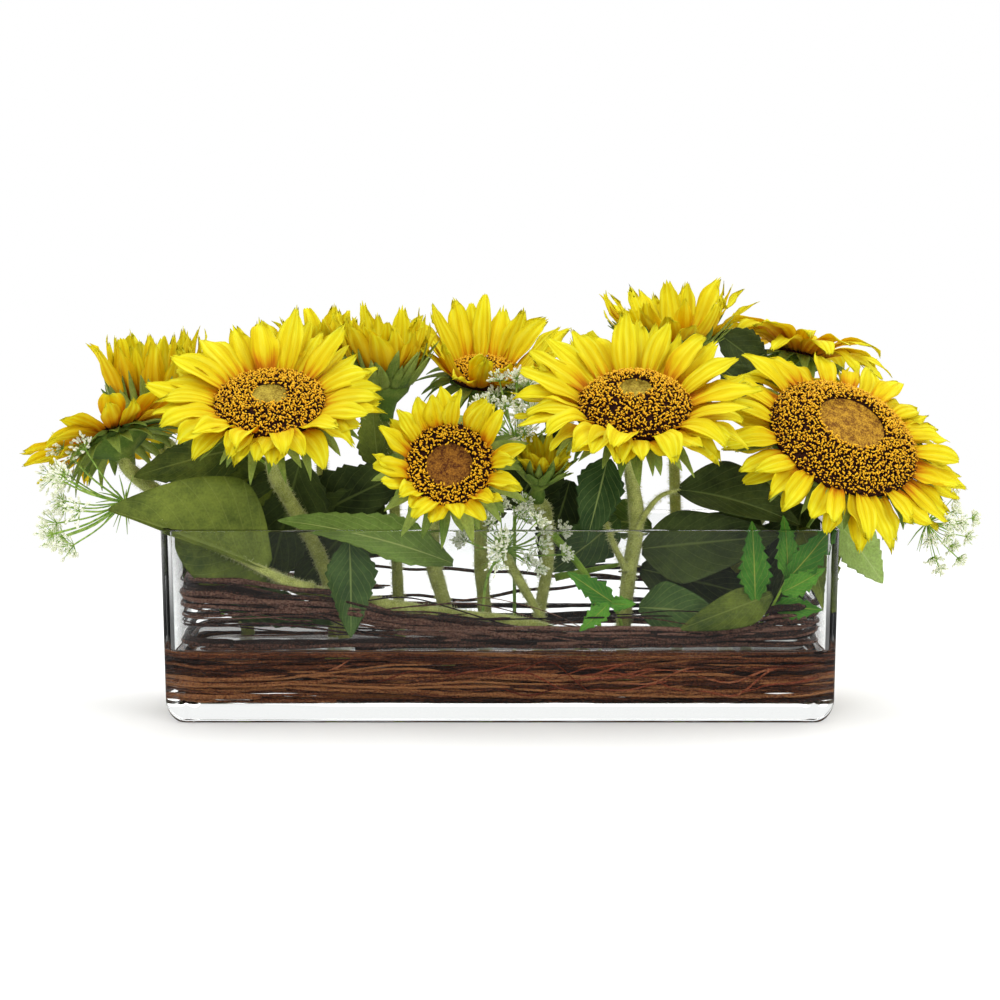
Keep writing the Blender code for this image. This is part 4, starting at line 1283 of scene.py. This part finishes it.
# %% Set water
SHY = 0.15 * MM
bm = rounded_block(LENGTH - 2 * WALL, WIDTH - 2 * WALL, BASE, water_top - SHY, CORNER - WALL)
round_off(bm, edges_at(bm, BASE), 4 * MM, 4)
draw_in(bm)
bmesh.ops.recalc_face_normals(bm, faces=bm.faces)
keep_flats_flat(make_piece("set_water", bm, (SET_WATER,), ("water",)))
print("water top at", round(water_top / MM, 1), "mm")

# %% [markdown]
# The setting is a plain pale floor under soft studio light: one broad lamp at the upper left and one at
# the right, one overhead and one behind. The world is white. Only for rays that the glass has mirrored or
# bent is it dark on the front side, as if black cloth hung round the camera: that is how a studio draws a
# clear edge on glass and keeps its faces free of haze.


# %% Floor, world and lamps
bm = bmesh.new()
bmesh.ops.create_grid(bm, x_segments=1, y_segments=1, size=3.0, matrix=Matrix.Translation((0, 0, -0.3 * MM)))
floor = bpy.data.objects.new("floor", keep_as_mesh("floor", bm))
bpy.context.scene.collection.objects.link(floor)


def sweep_finish():
    """White paper that fades into the white world further out. Glass mirrors and bends little of it, as
    if black cards lay on it outside the picture."""
    material, tree, shader = start_material("floor_white", Roughness=0.9)
    place = own_place(tree)
    away = add_node(tree, "ShaderNodeVectorMath", {0: place}, operation="LENGTH").outputs["Value"]
    fade = stretch_range(tree, away, 0.45, 0.8, 0.0, 1.0)
    mirrored = add_node(tree, "ShaderNodeLightPath").outputs["Glossy Depth"]
    masked = calculate(tree, "GREATER_THAN", mirrored, 0.5)
    paint(tree, shader, blend_colours(tree, masked, (0.97, 0.97, 0.97), (0.12, 0.12, 0.12)))
    mix_surfaces(tree, fade, shader, add_node(tree, "ShaderNodeBsdfTransparent"))
    return material


floor.data.materials.append(sweep_finish())


def light_the_world():
    world = bpy.data.worlds.new("studio")
    bpy.context.scene.world = world
    world.use_nodes = True
    tree = world.node_tree
    ray = add_node(tree, "ShaderNodeLightPath")
    mirrored = calculate(tree, "GREATER_THAN", ray.outputs["Glossy Depth"], 0.5)
    heading = add_node(tree, "ShaderNodeTexCoord").outputs["Generated"]
    towards_back = add_node(tree, "ShaderNodeSeparateXYZ", {0: heading}).outputs[1]
    front = stretch_range(tree, towards_back, 0.0, 0.5, -0.8, 0.0)
    level = calculate(tree, "MULTIPLY_ADD", mirrored, front, 1.0)
    strength = calculate(tree, "MULTIPLY_ADD", ray.outputs["Is Diffuse Ray"], -0.02, level)
    tree.links.new(strength, tree.nodes["Background"].inputs["Strength"])
    tree.nodes["Background"].inputs["Color"].default_value = (1, 1, 1, 1)


def add_lamp(name, place, size, power, aim=(0, 0, 0.12)):
    lamp = bpy.data.lights.new(name, "AREA")
    lamp.shape = "SQUARE"
    lamp.size = size
    lamp.energy = power
    holder = bpy.data.objects.new(name, lamp)
    holder.location = place
    holder.rotation_euler = (Vector(aim) - Vector(place)).to_track_quat("-Z", "Y").to_euler()
    bpy.context.scene.collection.objects.link(holder)


light_the_world()
add_lamp("key", (-0.9, -1.5, 1.5), 1.0, 9)
add_lamp("fill", (1.5, -1.1, 0.9), 1.0, 9)
add_lamp("overhead", (0.1, 0.1, 1.6), 1.0, 8)
add_lamp("rear", (0.3, 1.5, 1.0), 1.2, 8)
bpy.context.scene.view_settings.view_transform = "Standard"

# %% [markdown]
# The camera stands in front and looks down by six degrees, with a long lens. It is placed from the
# trough's front face, so that the picture is as wide as 519 mm there.

# %% Camera
PICTURE_WIDTH = 519 * MM
DISTANCE = 1300 * MM
CAMERA_RISE = math.radians(6)
aim = Vector((0, trough_low.y, 118 * MM))
camera = bpy.data.objects.new("camera", bpy.data.cameras.new("camera"))
camera.data.sensor_width = 36
camera.data.lens = 36 * DISTANCE / PICTURE_WIDTH
camera.location = aim + DISTANCE * Vector((0, -math.cos(CAMERA_RISE), math.sin(CAMERA_RISE)))
camera.rotation_euler = (aim - camera.location).to_track_quat("-Z", "Y").to_euler()
bpy.context.scene.collection.objects.link(camera)
bpy.context.scene.camera = camera
